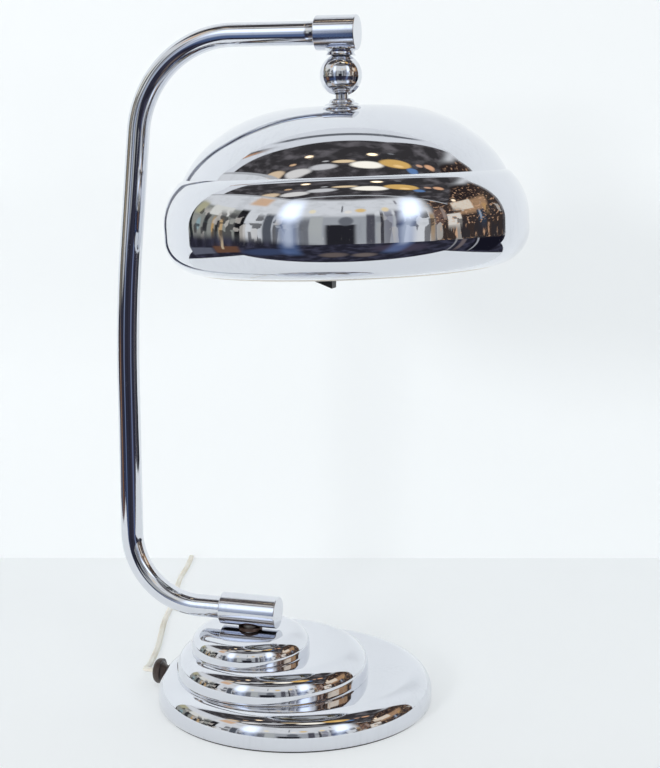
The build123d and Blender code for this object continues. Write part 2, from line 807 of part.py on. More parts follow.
# Wire down the neck and the stem, across the cup and on to the nearer terminal
wire_end_y = switch_y + terminal_width / 2
wire_side_x = switch_x + terminal_spacing / 2
wire_drop = cover_drop - switch_depth - wire_diameter / 2 - slip
neck_wire_points = [
    below_ball(-pivot_top).from_local_coords((0, 0, 0)),
    below_ball(wire_drop).from_local_coords((0, 0, 0)),
    below_ball(wire_drop).from_local_coords((wire_side_x, wire_end_y / 2, 0)),
    below_ball(wire_drop).from_local_coords((wire_side_x, wire_end_y, 0)),
]
with BuildPart() as neck_wire:
    with BuildLine():
        FilletPolyline(*neck_wire_points, radius=neck_wire_bend)
    with BuildSketch(below_ball(-pivot_top)):
        Circle(wire_diameter / 2)
    sweep()
save(neck_wire, "neck_wire")


# Wires inside: one from the bushing to the swivel, one through the arm
bushing_face = bushing_plane.origin + bushing_axis * (bushing_cone_length + bushing_disc_length)
base_wire_points = [
    bushing_face,
    bushing_plane.origin - bushing_axis * wire_dive,
    Vector(swivel_x, swivel_y, bushing_height),
    Vector(swivel_x, swivel_y, pipe_bottom),
]
with BuildPart() as base_wire:
    with BuildLine():
        FilletPolyline(*base_wire_points, radius=base_wire_bends)
    with BuildSketch(Plane(origin=bushing_face, z_dir=-bushing_axis)):
        Circle(wire_diameter / 2)
    sweep()
save(base_wire, "base_wire")

with BuildPart() as arm_wire:
    with BuildLine(arm_plane):
        FilletPolyline(
            (swivel_x, pipe_bottom),
            (swivel_x, lower_axis_z),
            *arm_corners[1:4],
            (ball_x, upper_axis_z),
            (ball_x, joint_pipe_bottom),
            radius=[arm_wire_bend, *arm_radii, arm_wire_bend],
        )
    with BuildSketch(Plane((swivel_x, swivel_y, pipe_bottom))):
        Circle(wire_diameter / 2)
    sweep()
save(arm_wire, "arm_wire")

# Lead: out of the bushing, round beside the base and back over the table to its coil
lead_radius = lead_diameter / 2
layer_step = lead_diameter + coil_turn_gap
coil_x, coil_y = coil_centre
coil_start = Vector(coil_x - coil_outer, coil_y, lead_radius)
ahead = Vector(0, 1, 0)
lead_points = [
    bushing_face,
    bushing_face + bushing_axis * lead_exit,
    Vector(-106.8, 4.4, 6.4),
    Vector(-109.6, 16.8, 3.6),
    Vector(-114.2, 34.0, 2.3),
    Vector(-119.6, 56.0, 2.2),
    Vector(-128.4, 83.0, 2.2),
    Vector(-138.0, 112.0, 2.2),
    Vector(-145.6, 146.0, 2.2),
    Vector(-156.8, 182.0, 2.2),
    Vector(-166.4, 214.0, 2.2),
    Vector(-171.6, 243.0, 2.2),
    Vector(-178.6, 270.0, 2.2),
    Vector(coil_start.X, 297.0, 2.2),
    coil_start - ahead * lead_diameter,
]


def arc_radii(points):
    """The radius at each corner of a route, 0.45 of its shorter run over the half turn's tangent."""
    radii = []
    for before, corner, after in zip(points, points[1:], points[2:]):
        run_in, run_out = corner - before, after - corner
        half_turn = radians(run_in.get_angle(run_out)) / 2
        radii.append(0.45 * min(run_in.length, run_out.length) / tan(half_turn))
    return radii


lead_radii = arc_radii(lead_points)
with BuildPart() as lead:
    with BuildLine() as lead_line:
        FilletPolyline(*lead_points, radius=lead_radii)
    with BuildSketch(Plane(origin=bushing_face, z_dir=lead_points[1] - bushing_face)):
        Circle(lead_radius)
    sweep()
save(lead, "cord")
lead_length = sum(edge.length for edge in lead_line.edges())
print("lead radii", [round(radius, 1) for radius in lead_radii])
print("lead length", round(lead_length, 1))
lead_share = lead.part.volume / (pi * lead_radius**2 * lead_length)
print("lead volume over section times length", round(lead_share, 4))

# Coil: half turns that draw in by half a step each, climb once, and draw out again
half_turns = []
turn_radius = coil_outer
for number in range(coil_half_turns_in):
    half_turns.append((turn_radius, 0))
    turn_radius -= layer_step / 2
half_turns.append((turn_radius, layer_step))
for number in range(coil_half_turns_out):
    turn_radius += layer_step / 2
    half_turns.append((turn_radius, 0))

with BuildPart() as lead_coil:
    with BuildLine() as coil_line:
        Line(coil_start - ahead * lead_diameter, coil_start)
        point, heading, across = coil_start, ahead, Vector(1, 0, 0)
        for radius, climb in half_turns:
            chord = across * 2 * radius + Vector(0, 0, climb)
            middle = point + chord / 2 + heading * (chord.length / 2)
            TangentArc(point, middle, tangent=heading)
            TangentArc(middle, point + chord, tangent=chord)
            point, heading, across = point + chord, -heading, -across
        coil_end = point + heading * lead_diameter
        Line(point, coil_end)
    with BuildSketch(Plane(origin=coil_start - ahead * lead_diameter, z_dir=ahead)):
        Circle(lead_radius)
    sweep()
save(lead_coil, "cord_coil")

coil_wire = coil_line.wires()[0]
coil_points = [tuple(coil_wire @ (number / coil_samples)) for number in range(coil_samples + 1)]
apart = int(pi * lead_diameter * coil_samples / coil_wire.length) + 1
least_reach = min(
    dist(point, other)
    for number, point in enumerate(coil_points)
    for other in coil_points[number + apart :]
)
print("coil length", round(coil_wire.length, 1))
print("least gap of the coil to itself", round(least_reach - lead_diameter, 2))

# Short tail from the coil to the plug
tail_points = [coil_end]
for number in range(tail_runs):
    angle = radians(90 + number * tail_turn)
    tail_points.append(tail_points[-1] + Vector(cos(angle), sin(angle), 0) * tail_run)
with BuildPart() as lead_tail:
    with BuildLine():
        FilletPolyline(*tail_points, radius=arc_radii(tail_points))
    with BuildSketch(Plane(origin=coil_end, z_dir=ahead)):
        Circle(lead_radius)
    sweep()
save(lead_tail, "cord_tail")

# Two-pin plug
plug_axis = tail_points[-1] - tail_points[-2]
plug_plane = Plane(origin=tail_points[-1], x_dir=plug_axis.cross(Vector(0, 0, 1)), z_dir=plug_axis)
plug_front = plug_plane.offset(plug_length)
blade_places = GridLocations(blade_spacing, 0, 2, 1)
with BuildPart() as plug_body:
    with BuildSketch(plug_plane):
        Circle(plug_back_radius)
    with BuildSketch(plug_plane.offset(plug_taper)):
        RectangleRounded(plug_width, plug_height, plug_corner)
    loft()
    with BuildSketch(plug_plane.offset(plug_taper)):
        RectangleRounded(plug_width, plug_height, plug_corner)
    extrude(amount=plug_length - plug_taper)
    fillet(faces().sort_by(Axis(plug_plane.origin, plug_axis))[-1].edges(), plug_edge)
    with BuildSketch(plug_front):
        with blade_places:
            Rectangle(blade_thickness, blade_width)
    extrude(amount=-blade_seat, mode=Mode.SUBTRACT)
save(plug_body, "plug_body")

with BuildPart() as plug_blades:
    with BuildSketch(plug_front.offset(-blade_seat)):
        with blade_places:
            Rectangle(blade_thickness, blade_width)
    extrude(amount=blade_seat + blade_length)
    ends = edges().group_by(Axis(plug_plane.origin, plug_axis))[-1]
    chamfer(ends.filter_by(Axis(plug_plane.origin, plug_plane.x_dir)), blade_width / 4)
    with BuildSketch(Plane(plug_front.offset(blade_length - blade_hole_inset).origin, z_dir=plug_plane.x_dir)):
        Circle(blade_hole_radius)
    extrude(amount=plug_width, both=True, mode=Mode.SUBTRACT)
save(plug_blades, "plug_blades")
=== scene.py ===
"""The finished look of a chrome desk lamp on a pale table by a pale wall.

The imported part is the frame. Lengths in the classes are millimetres, as on a maker's drawing,
and every mesh is made in metres, in the part's own place.
"""

import logging
import math
from collections.abc import Callable, Iterable
from dataclasses import dataclass, field
from enum import Enum

import bmesh
import bpy
from mathutils import Matrix, Vector


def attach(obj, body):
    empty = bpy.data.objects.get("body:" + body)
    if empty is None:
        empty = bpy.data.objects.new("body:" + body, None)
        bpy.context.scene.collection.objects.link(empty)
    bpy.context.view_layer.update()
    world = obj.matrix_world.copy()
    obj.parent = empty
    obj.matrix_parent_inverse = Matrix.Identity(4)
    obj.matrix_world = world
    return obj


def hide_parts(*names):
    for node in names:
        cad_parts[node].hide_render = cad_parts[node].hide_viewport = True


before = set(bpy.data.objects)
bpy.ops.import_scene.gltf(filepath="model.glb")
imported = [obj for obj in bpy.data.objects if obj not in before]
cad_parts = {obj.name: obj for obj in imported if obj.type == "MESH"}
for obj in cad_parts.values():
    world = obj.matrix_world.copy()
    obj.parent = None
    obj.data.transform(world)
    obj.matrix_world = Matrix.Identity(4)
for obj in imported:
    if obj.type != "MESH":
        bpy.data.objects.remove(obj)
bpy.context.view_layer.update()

LOG = logging.getLogger("desk_lamp")
Colour = tuple[float, float, float]
Place = tuple[float, float]

MM = 0.001
DEGREES_PER_RADIAN = 57.2958
# Corners closer than this, in metres, are one
MERGE = 2e-6
# The steps in which arcs and the tube's bends are drawn, in degrees
ARC_STEP = 2.2
BEND_STEP = 2.0
ORIGIN = Vector((0, 0, 0))
ALONG_X = Vector((1, 0, 0))
ALONG_Y = Vector((0, 1, 0))
UP = Vector((0, 0, 1))

# Directions of the photograph's view, level with the table: away from the camera, and to its right
VIEW_TURN = math.radians(16.02)
VIEW_AWAY = Vector((-math.sin(VIEW_TURN), math.cos(VIEW_TURN), 0.0))
VIEW_RIGHT = Vector((math.cos(VIEW_TURN), math.sin(VIEW_TURN), 0.0))


# Shader maths


class Reading:
    """A number on its way through a shader, which takes Python's operators."""

    def __init__(self, graph: "Graph", socket: bpy.types.NodeSocket) -> None:
        """Keeps the graph and the socket that the number comes from."""
        self.graph = graph
        self.socket = socket

    def __add__(self, other: "Reading | float") -> "Reading":
        """Sum."""
        return self.graph.maths("ADD", self, other)

    def __radd__(self, other: float) -> "Reading":
        """Sum with a plain number first."""
        return self.graph.maths("ADD", other, self)

    def __sub__(self, other: "Reading | float") -> "Reading":
        """Difference."""
        return self.graph.maths("SUBTRACT", self, other)

    def __mul__(self, other: "Reading | float") -> "Reading":
        """Product."""
        return self.graph.maths("MULTIPLY", self, other)

    def __truediv__(self, other: "Reading | float") -> "Reading":
        """Quotient."""
        return self.graph.maths("DIVIDE", self, other)

    def size(self) -> "Reading":
        """The number without its sign."""
        return self.graph.maths("ABSOLUTE", self)

    def rise(self, low: float, high: float) -> "Reading":
        """A smooth step.

        Args:
            low: The number at which the step leaves 0.
            high: The number at which it reaches 1; it may lie below low.

        Returns:
            The step, from 0 to 1.
        """
        ends = {"Value": self, "From Min": low, "From Max": high}
        node = self.graph.node("ShaderNodeMapRange", {"interpolation_type": "SMOOTHSTEP"}, ends)
        return Reading(self.graph, node.outputs["Result"])

    def band(self, low: float, high: float, soft: float) -> "Reading":
        """A smooth band.

        Args:
            low: The number at which the band starts.
            high: The number at which it ends.
            soft: How far each of its edges spreads.

        Returns:
            1 inside the band and 0 outside.
        """
        return self.rise(low - soft, low + soft) * self.rise(high + soft, high - soft)


class Graph:
    """The nodes of one material or world."""

    def __init__(self, tree: bpy.types.NodeTree) -> None:
        """Starts from an empty tree."""
        self.tree = tree
        tree.nodes.clear()

    def node(
        self, kind: str, settings: dict | None = None, inputs: dict | None = None
    ) -> bpy.types.Node:
        """Adds one node.

        Args:
            kind: The node's type.
            settings: Its settings by name.
            inputs: Its sockets by name or number, each with a value, a socket or a Reading.

        Returns:
            The node.
        """
        node = self.tree.nodes.new(kind)
        for name, value in (settings or {}).items():
            setattr(node, name, value)
        for name, value in (inputs or {}).items():
            if isinstance(value, Reading):
                value = value.socket
            if isinstance(value, bpy.types.NodeSocket):
                self.tree.links.new(value, node.inputs[name])
            else:
                node.inputs[name].default_value = value
        return node

    def maths(
        self, operation: str, first: Reading | float, second: Reading | float = 0.0
    ) -> Reading:
        """One Math node.

        Args:
            operation: What it does.
            first: Its first number.
            second: Its second number, where it takes two.

        Returns:
            Its result.
        """
        node = self.node("ShaderNodeMath", {"operation": operation}, {0: first, 1: second})
        return Reading(self, node.outputs[0])

    def mix(self, share: Reading | float, first: object, second: object) -> bpy.types.NodeSocket:
        """Mixes two colours.

        Args:
            share: 0 for the first colour, 1 for the second.
            first: A colour or a colour socket.
            second: A colour or a colour socket.

        Returns:
            The mixed colour.
        """
        ends = [(*c, 1.0) if isinstance(c, tuple) else c for c in (first, second)]
        settings = {"data_type": "RGBA", "clamp_factor": True}
        node = self.node("ShaderNodeMix", settings, {0: share, 6: ends[0], 7: ends[1]})
        return node.outputs[2]

    def place(self) -> bpy.types.NodeSocket:
        """The point on the piece, in metres."""
        return self.node("ShaderNodeTexCoord").outputs["Object"]

    def stretched(self, stretch: Colour) -> bpy.types.NodeSocket:
        """The point on the piece, with each axis multiplied by its own number."""
        node = self.node(
            "ShaderNodeVectorMath", {"operation": "MULTIPLY"}, {0: self.place(), 1: stretch}
        )
        return node.outputs[0]

    def along(self, where: bpy.types.NodeSocket, way: Vector) -> Reading:
        """How far a point or a ray goes along a way."""
        node = self.node("ShaderNodeVectorMath", {"operation": "DOT_PRODUCT"}, {0: where, 1: way})
        return Reading(self, node.outputs["Value"])

    def noise(
        self, scale: float, detail: float = 2.0, where: bpy.types.NodeSocket | None = None
    ) -> Reading:
        """Cloudy noise.

        Args:
            scale: Clouds to a metre.
            detail: How many finer layers it has.
            where: The point it is read at, the point on the piece if left out.

        Returns:
            The noise, from 0 to 1, mostly near a half.
        """
        inputs = {"Vector": where or self.place(), "Scale": scale, "Detail": detail}
        return Reading(self, self.node("ShaderNodeTexNoise", {}, inputs).outputs["Fac"])

    def bump(self, height: Reading, distance: float, strength: float = 1.0) -> bpy.types.NodeSocket:
        """A bumpy normal.

        Args:
            height: The height, from 0 to 1.
            distance: How high 1 stands, in metres.
            strength: How much of it shows.

        Returns:
            The normal.
        """
        inputs = {"Height": height, "Distance": distance, "Strength": strength}
        return self.node("ShaderNodeBump", {}, inputs).outputs["Normal"]

    def surface(self, shader: bpy.types.NodeSocket, kind: str = "ShaderNodeOutputMaterial") -> None:
        """Ends the graph in its output."""
        self.node(kind, {}, {"Surface": shader})


def new_graph(name: str) -> tuple[bpy.types.Material, Graph]:
    """Makes a material.

    Args:
        name: Its name.

    Returns:
        The material and its empty graph.
    """
    material = bpy.data.materials.new(name)
    material.use_nodes = True
    return material, Graph(material.node_tree)


# Finishes


class Texture(Enum):
    """How a worked metal's surface is left."""

    BRUSHED = "brushed"
    TURNED = "turned"
    CAST = "cast"


@dataclass(frozen=True)
class Finish:
    """The finish of a surface."""

    name: str

    def inputs(self, graph: Graph) -> dict:
        """What its shader takes.

        Args:
            graph: The material's graph.

        Returns:
            The shader's sockets by name.
        """
        raise NotImplementedError

    def material(self) -> bpy.types.Material:
        """Builds the material.

        Returns:
            The material.
        """
        material, graph = new_graph(self.name)
        shader = graph.node("ShaderNodeBsdfPrincipled", {}, self.inputs(graph))
        graph.surface(shader.outputs["BSDF"])
        return material


@dataclass(frozen=True)
class Chrome(Finish):
    """Old chrome plate: a mirror with wiping marks, fine pits and a little waviness."""

    tint: Colour = (0.755, 0.77, 0.815)
    dull_tint: Colour = (0.63, 0.65, 0.70)
    roughness: float = 0.03
    haze: float = 0.10
    wave: float = 0.00003
    pits: float = 0.0

    def inputs(self, graph: Graph) -> dict:
        """What its shader takes: see Finish."""
        clouds = graph.noise(38.0, 4.0)
        wiping = graph.noise(1.0, 5.0, graph.stretched((420.0, 420.0, 55.0)))
        smear = clouds.rise(0.42, 0.78) * wiping.rise(0.35, 0.8)
        speck = graph.noise(1700.0, 2.0).rise(0.70, 0.76)
        worn = graph.noise(120.0, 3.0).rise(0.48, 0.66)
        pitting = speck * worn * self.pits
        tint = graph.mix(smear * 0.35 + pitting, self.tint, self.dull_tint)
        wavy = graph.noise(26.0, 1.0) + wiping * 0.02 - pitting * 0.1
        return {
            "Base Color": tint,
            "Metallic": 1.0,
            "Roughness": self.roughness + smear * self.haze + pitting * 0.3,
            "Normal": graph.bump(wavy, self.wave * 10.0, 0.1),
        }


@dataclass(frozen=True)
class WorkedMetal(Finish):
    """Bare or plated metal that was brushed, turned or cast, and not polished."""

    tint: Colour
    dark_tint: Colour
    roughness: float
    texture: Texture = Texture.BRUSHED
    depth: float = 0.00004

    def inputs(self, graph: Graph) -> dict:
        """What its shader takes: see Finish."""
        if self.texture is Texture.BRUSHED:
            grain = graph.noise(1.0, 4.0, graph.stretched((300.0, 300.0, 3500.0)))
        elif self.texture is Texture.TURNED:
            grain = graph.noise(1.0, 4.0, graph.stretched((200.0, 200.0, 6000.0)))
        else:
            grain = graph.noise(900.0, 6.0)
        stain = graph.noise(60.0, 4.0)
        tint = graph.mix(grain * 0.5 + stain.rise(0.45, 0.75) * 0.6, self.tint, self.dark_tint)
        return {
            "Base Color": tint,
            "Metallic": 0.35 if self.texture is Texture.CAST else 1.0,
            "Roughness": self.roughness + (grain - 0.5) * 0.25 + stain * 0.08,
            "Normal": graph.bump(grain, self.depth, 0.5),
        }


@dataclass(frozen=True)
class Moulded(Finish):
    """Moulded plastic, rubber, vinyl or enamel, with grain, handling marks and some dirt."""

    colour: Colour
    aged_colour: Colour
    roughness: float
    grain_scale: float = 1500.0
    grain_depth: float = 0.00003
    coat: float = 0.0
    soft: float = 0.0

    def inputs(self, graph: Graph) -> dict:
        """What its shader takes: see Finish."""
        grain = graph.noise(self.grain_scale, 3.0)
        age = graph.noise(45.0, 5.0).rise(0.4, 0.72)
        rubbed = graph.noise(190.0, 4.0).rise(0.5, 0.7)
        return {
            "Base Color": graph.mix(age * 0.8 + grain * 0.2, self.colour, self.aged_colour),
            "Roughness": self.roughness + rubbed * 0.12 + (grain - 0.5) * 0.15,
            "Coat Weight": self.coat,
            "Subsurface Weight": self.soft,
            "Subsurface Radius": (0.002, 0.0015, 0.001),
            "Normal": graph.bump(grain + age * 0.3, self.grain_depth, 0.6),
        }


@dataclass(frozen=True)
class FrostedGlass(Finish):
    """The etched glass of a lamp bulb."""

    colour: Colour = (0.93, 0.92, 0.88)

    def inputs(self, graph: Graph) -> dict:
        """What its shader takes: see Finish."""
        etch = graph.noise(2600.0, 3.0)
        dust = graph.noise(70.0, 5.0).rise(0.45, 0.8)
        return {
            "Base Color": graph.mix(dust * 0.5, self.colour, (0.78, 0.74, 0.66)),
            "Roughness": 0.28 + etch * 0.12 + dust * 0.1,
            "Transmission Weight": 0.25,
            "IOR": 1.5,
            "Normal": graph.bump(etch, 0.00002, 0.4),
        }


# Chrome: the base and shade, the tube, the ball joint, the barrels, and the shade's rolled edge,
# pitted and in a warmer tint
MIRROR = Chrome("chrome_plate").material()
TUBE_CHROME = Chrome("chrome_tube", roughness=0.05, haze=0.16, pits=1.0).material()
JOINT_CHROME = Chrome("chrome_joint", roughness=0.06, haze=0.18, pits=0.5).material()
BARREL_CHROME = Chrome("chrome_barrel", roughness=0.14, haze=0.14, pits=0.5).material()
EDGE_CHROME = Chrome(
    "chrome_edge", (0.74, 0.69, 0.63), (0.62, 0.52, 0.42), 0.16, 0.2, pits=1.0
).material()
# Other metals
STEEL = WorkedMetal(
    "zinc_steel", (0.62, 0.62, 0.61), (0.40, 0.40, 0.39), 0.32, Texture.TURNED
).material()
SATIN = WorkedMetal("satin_cup", (0.70, 0.70, 0.70), (0.52, 0.52, 0.52), 0.30).material()
# Painted shade: the swivel washer is coloured dark brown to stand for the shadow in the narrow gap
# under the lower barrel
SHADOW_GAP_WASHER_STEEL = WorkedMetal(
    "shadow_gap_washer_steel", (0.20, 0.14, 0.115), (0.11, 0.07, 0.055), 0.34, Texture.TURNED
).material()
BRASS = WorkedMetal(
    "old_brass", (0.72, 0.55, 0.27), (0.42, 0.29, 0.13), 0.30, Texture.TURNED
).material()
IRON = WorkedMetal(
    "cast_ballast", (0.16, 0.16, 0.17), (0.07, 0.07, 0.08), 0.7, Texture.CAST, 0.0003
).material()
# Enamel, rubber and plastics
ENAMEL = Moulded(
    "black_enamel", (0.05, 0.05, 0.055), (0.09, 0.09, 0.09), 0.35, 600.0, coat=0.4
).material()
RUBBER = Moulded(
    "foot_rubber", (0.035, 0.035, 0.037), (0.07, 0.068, 0.065), 0.8, 1200.0, 0.0001
).material()
BROWN = Moulded(
    "bushing_bakelite", (0.035, 0.022, 0.017), (0.07, 0.05, 0.04), 0.42, coat=0.2
).material()
BLACK = Moulded("switch_black", (0.008, 0.008, 0.009), (0.02, 0.02, 0.019), 0.45).material()
IVORY = Moulded("holder_ivory", (0.80, 0.76, 0.66), (0.66, 0.58, 0.44), 0.5).material()
VINYL = Moulded(
    "lead_vinyl", (0.85, 0.83, 0.76), (0.72, 0.67, 0.55), 0.42, 900.0, 0.00004, soft=0.15
).material()
CREAM = Moulded("plug_cream", (0.80, 0.75, 0.63), (0.66, 0.58, 0.42), 0.36, coat=0.15).material()
GLASS = FrostedGlass("bulb_frost").material()


# Mesh making


def seat(origin: Vector, axis: Vector, x_dir: Vector) -> Matrix:
    """The place of a turned piece.

    Args:
        origin: Where its profile's height 0 is on the axis, in millimetres.
        axis: The direction of its height.
        x_dir: A direction square to the axis.

    Returns:
        The matrix that takes a piece made about Z at the origin, in metres, to its place.
    """
    side = axis.cross(x_dir)
    turn = Matrix((x_dir, side, axis)).transposed().to_4x4()
    return Matrix.Translation(origin * MM) @ turn


def join(parts: Iterable[bmesh.types.BMesh]) -> bmesh.types.BMesh:
    """Joins meshes.

    Args:
        parts: The meshes, which are freed.

    Returns:
        One mesh of them all.
    """
    joined = bmesh.new()
    for part in parts:
        held = bpy.data.meshes.new("part")
        part.to_mesh(held)
        joined.from_mesh(held)
        bpy.data.meshes.remove(held)
        part.free()
    return joined


class Lathe:
    """Draws a profile from one point, then turns it about its axis."""

    def __init__(self, radius: float, height: float) -> None:
        """Starts the profile at a radius and height in millimetres, heading outwards."""
        self.mesh = bmesh.new()
        self.tip = self.mesh.verts.new(Vector((radius, 0.0, height)) * MM)
        self.heading = Vector((1.0, 0.0, 0.0))

    def line(self, radius: float, height: float, parts: int = 1) -> "Lathe":
        """Draws a straight run.

        Args:
            radius: Its end's radius.
            height: Its end's height.
            parts: How many edges it has.

        Returns:
            The lathe.
        """
        step = (Vector((radius, 0.0, height)) * MM - self.tip.co) / parts
        for _ in range(parts):
            made = bmesh.ops.extrude_vert_indiv(self.mesh, verts=[self.tip])
            self.tip = made["verts"][0]
            bmesh.ops.translate(self.mesh, verts=[self.tip], vec=step)
        self.heading = step.normalized()
        return self

    def _swing(self, centre: Vector, angle: float) -> None:
        """Swings the tip about a point of the profile's plane."""
        steps = max(4, math.ceil(abs(angle) / math.radians(ARC_STEP)))
        made = bmesh.ops.spin(
            self.mesh, geom=[self.tip], cent=centre, axis=-ALONG_Y, dvec=ORIGIN,
            angle=angle, steps=steps, use_merge=False, use_duplicate=False,
        )
        self.tip = next(v for v in made["geom_last"] if isinstance(v, bmesh.types.BMVert))
        self.heading = Matrix.Rotation(-angle, 3, "Y") @ self.heading

    @staticmethod
    def _arc(start: Vector, heading: Vector, end: Vector) -> tuple[Vector, float]:
        """The centre and angle of the arc that leaves start along heading and reaches end."""
        chord = end - start
        left = Vector((-heading.z, 0.0, heading.x))
        centre = start + left * (chord.length_squared / (2.0 * chord.dot(left)))
        return centre, 2.0 * math.atan2(chord.dot(left), chord.dot(heading))

    def arc(self, radius: float, height: float, heading: Place | None = None) -> "Lathe":
        """Draws an arc that goes on from the last run.

        Args:
            radius: Its end's radius.
            height: Its end's height.
            heading: The way it sets off, if not along the last run.

        Returns:
            The lathe.
        """
        if heading is not None:
            self.heading = Vector((heading[0], 0.0, heading[1])).normalized()
        end = Vector((radius, 0.0, height)) * MM
        centre, angle = self._arc(self.tip.co.copy(), self.heading, end)
        self._swing(centre, angle)
        return self

    def arc_into(self, radius: float, height: float, heading: Place) -> "Lathe":
        """Draws an arc that arrives with a given heading.

        Args:
            radius: Its end's radius.
            height: Its end's height.
            heading: The way it is going at its end.

        Returns:
            The lathe.
        """
        end = Vector((radius, 0.0, height)) * MM
        arriving = Vector((heading[0], 0.0, heading[1])).normalized()
        centre, angle = self._arc(end, -arriving, self.tip.co.copy())
        self._swing(centre, -angle)
        self.heading = arriving
        return self

    def turn(self, place: Matrix, steps: int = 128) -> bmesh.types.BMesh:
        """Turns the profile through a full circle.

        Args:
            place: Where the piece goes.
            steps: How many faces it has round its axis.

        Returns:
            The mesh, in place.
        """
        bmesh.ops.spin(
            self.mesh, geom=self.mesh.verts[:] + self.mesh.edges[:], cent=ORIGIN, axis=UP,
            dvec=ORIGIN, angle=2.0 * math.pi, steps=steps, use_merge=True, use_duplicate=False,
        )
        bmesh.ops.transform(self.mesh, matrix=place, verts=self.mesh.verts)
        return self.mesh


class RingDrive:
    """Drives a ring along straight runs and bends in the arm's upright plane."""

    def __init__(self, radius: float, start: Vector, heading: Vector, faces: int = 64) -> None:
        """Sets a ring of that radius at start, square to the heading."""
        self.mesh = bmesh.new()
        self.point = start * MM
        self.heading = heading.normalized()
        ring = seat(start, self.heading, ALONG_Y)
        bmesh.ops.create_circle(self.mesh, segments=faces, radius=radius * MM, matrix=ring)
        self.ring = self.mesh.edges[:]

    def run(self, length: float, parts: int = 1) -> "RingDrive":
        """Goes straight on.

        Args:
            length: How far.
            parts: How many rings of faces it leaves.

        Returns:
            The drive.
        """
        step = self.heading * length * MM / parts
        for _ in range(parts):
            made = bmesh.ops.extrude_edge_only(self.mesh, edges=self.ring)["geom"]
            self.ring = [e for e in made if isinstance(e, bmesh.types.BMEdge)]
            moved = [v for v in made if isinstance(v, bmesh.types.BMVert)]
            bmesh.ops.translate(self.mesh, verts=moved, vec=step)
        self.point = self.point + step * parts
        return self

    def bend(self, radius: float, degrees: float) -> "RingDrive":
        """Bends upwards to the left where degrees is above 0, and the other way below 0.

        Args:
            radius: The radius of the bend along the middle of the tube.
            degrees: How far it turns.

        Returns:
            The drive.
        """
        angle = math.radians(degrees)
        left = Vector((-self.heading.z, 0.0, self.heading.x)) * math.copysign(radius * MM, angle)
        geom = self.ring + list({v for e in self.ring for v in e.verts})
        steps = max(6, math.ceil(abs(degrees) / BEND_STEP))
        made = bmesh.ops.spin(
            self.mesh, geom=geom, cent=self.point + left, axis=-ALONG_Y, dvec=ORIGIN,
            angle=angle, steps=steps, use_merge=False, use_duplicate=False,
        )
        self.ring = [e for e in made["geom_last"] if isinstance(e, bmesh.types.BMEdge)]
        turn = Matrix.Rotation(-angle, 3, "Y")
        self.point = self.point + left - turn @ left
        self.heading = turn @ self.heading
        return self


@dataclass
class Piece:
    """One finished piece of the lamp: its mesh, dress, body and the nodes that it stands for."""

    name: str
    mesh: bmesh.types.BMesh
    material: bpy.types.Material
    body: str
    nodes: tuple[str, ...]
    slot: str
    wall: float = 0.0
    sharp: float = 32.0

    def place(self) -> bpy.types.Object:
        """Merges the mesh's doubles, turns its faces outwards and puts it in the scene.

        Returns:
            The object.
        """
        bmesh.ops.remove_doubles(self.mesh, verts=self.mesh.verts, dist=MERGE)
        bmesh.ops.recalc_face_normals(self.mesh, faces=self.mesh.faces)
        data = bpy.data.meshes.new(self.name)
        self.mesh.to_mesh(data)
        self.mesh.free()
        data.shade_smooth()
        data.set_sharp_from_angle(angle=math.radians(self.sharp))
        data.materials.append(self.material)
        made = bpy.data.objects.new(self.name, data)
        bpy.context.scene.collection.objects.link(made)
        if self.wall:
            solidify = made.modifiers.new("wall", "SOLIDIFY")
            solidify.thickness = self.wall * MM
            solidify.offset = -1.0
        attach(made, self.body)
        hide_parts(*self.nodes)
        LOG.info("%s: %d faces on body %s", self.name, len(data.polygons), self.body)
        return made


def dress(material: bpy.types.Material, *nodes: str) -> None:
    """Gives CAD nodes a finish.

    Args:
        material: The finish.
        nodes: The names of the nodes.
    """
    for name in nodes:
        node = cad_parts[name]
        for place in node.material_slots:
            place.material = material
        LOG.info("%s: dressed in %s", name, material.name)


# The lamp's parts


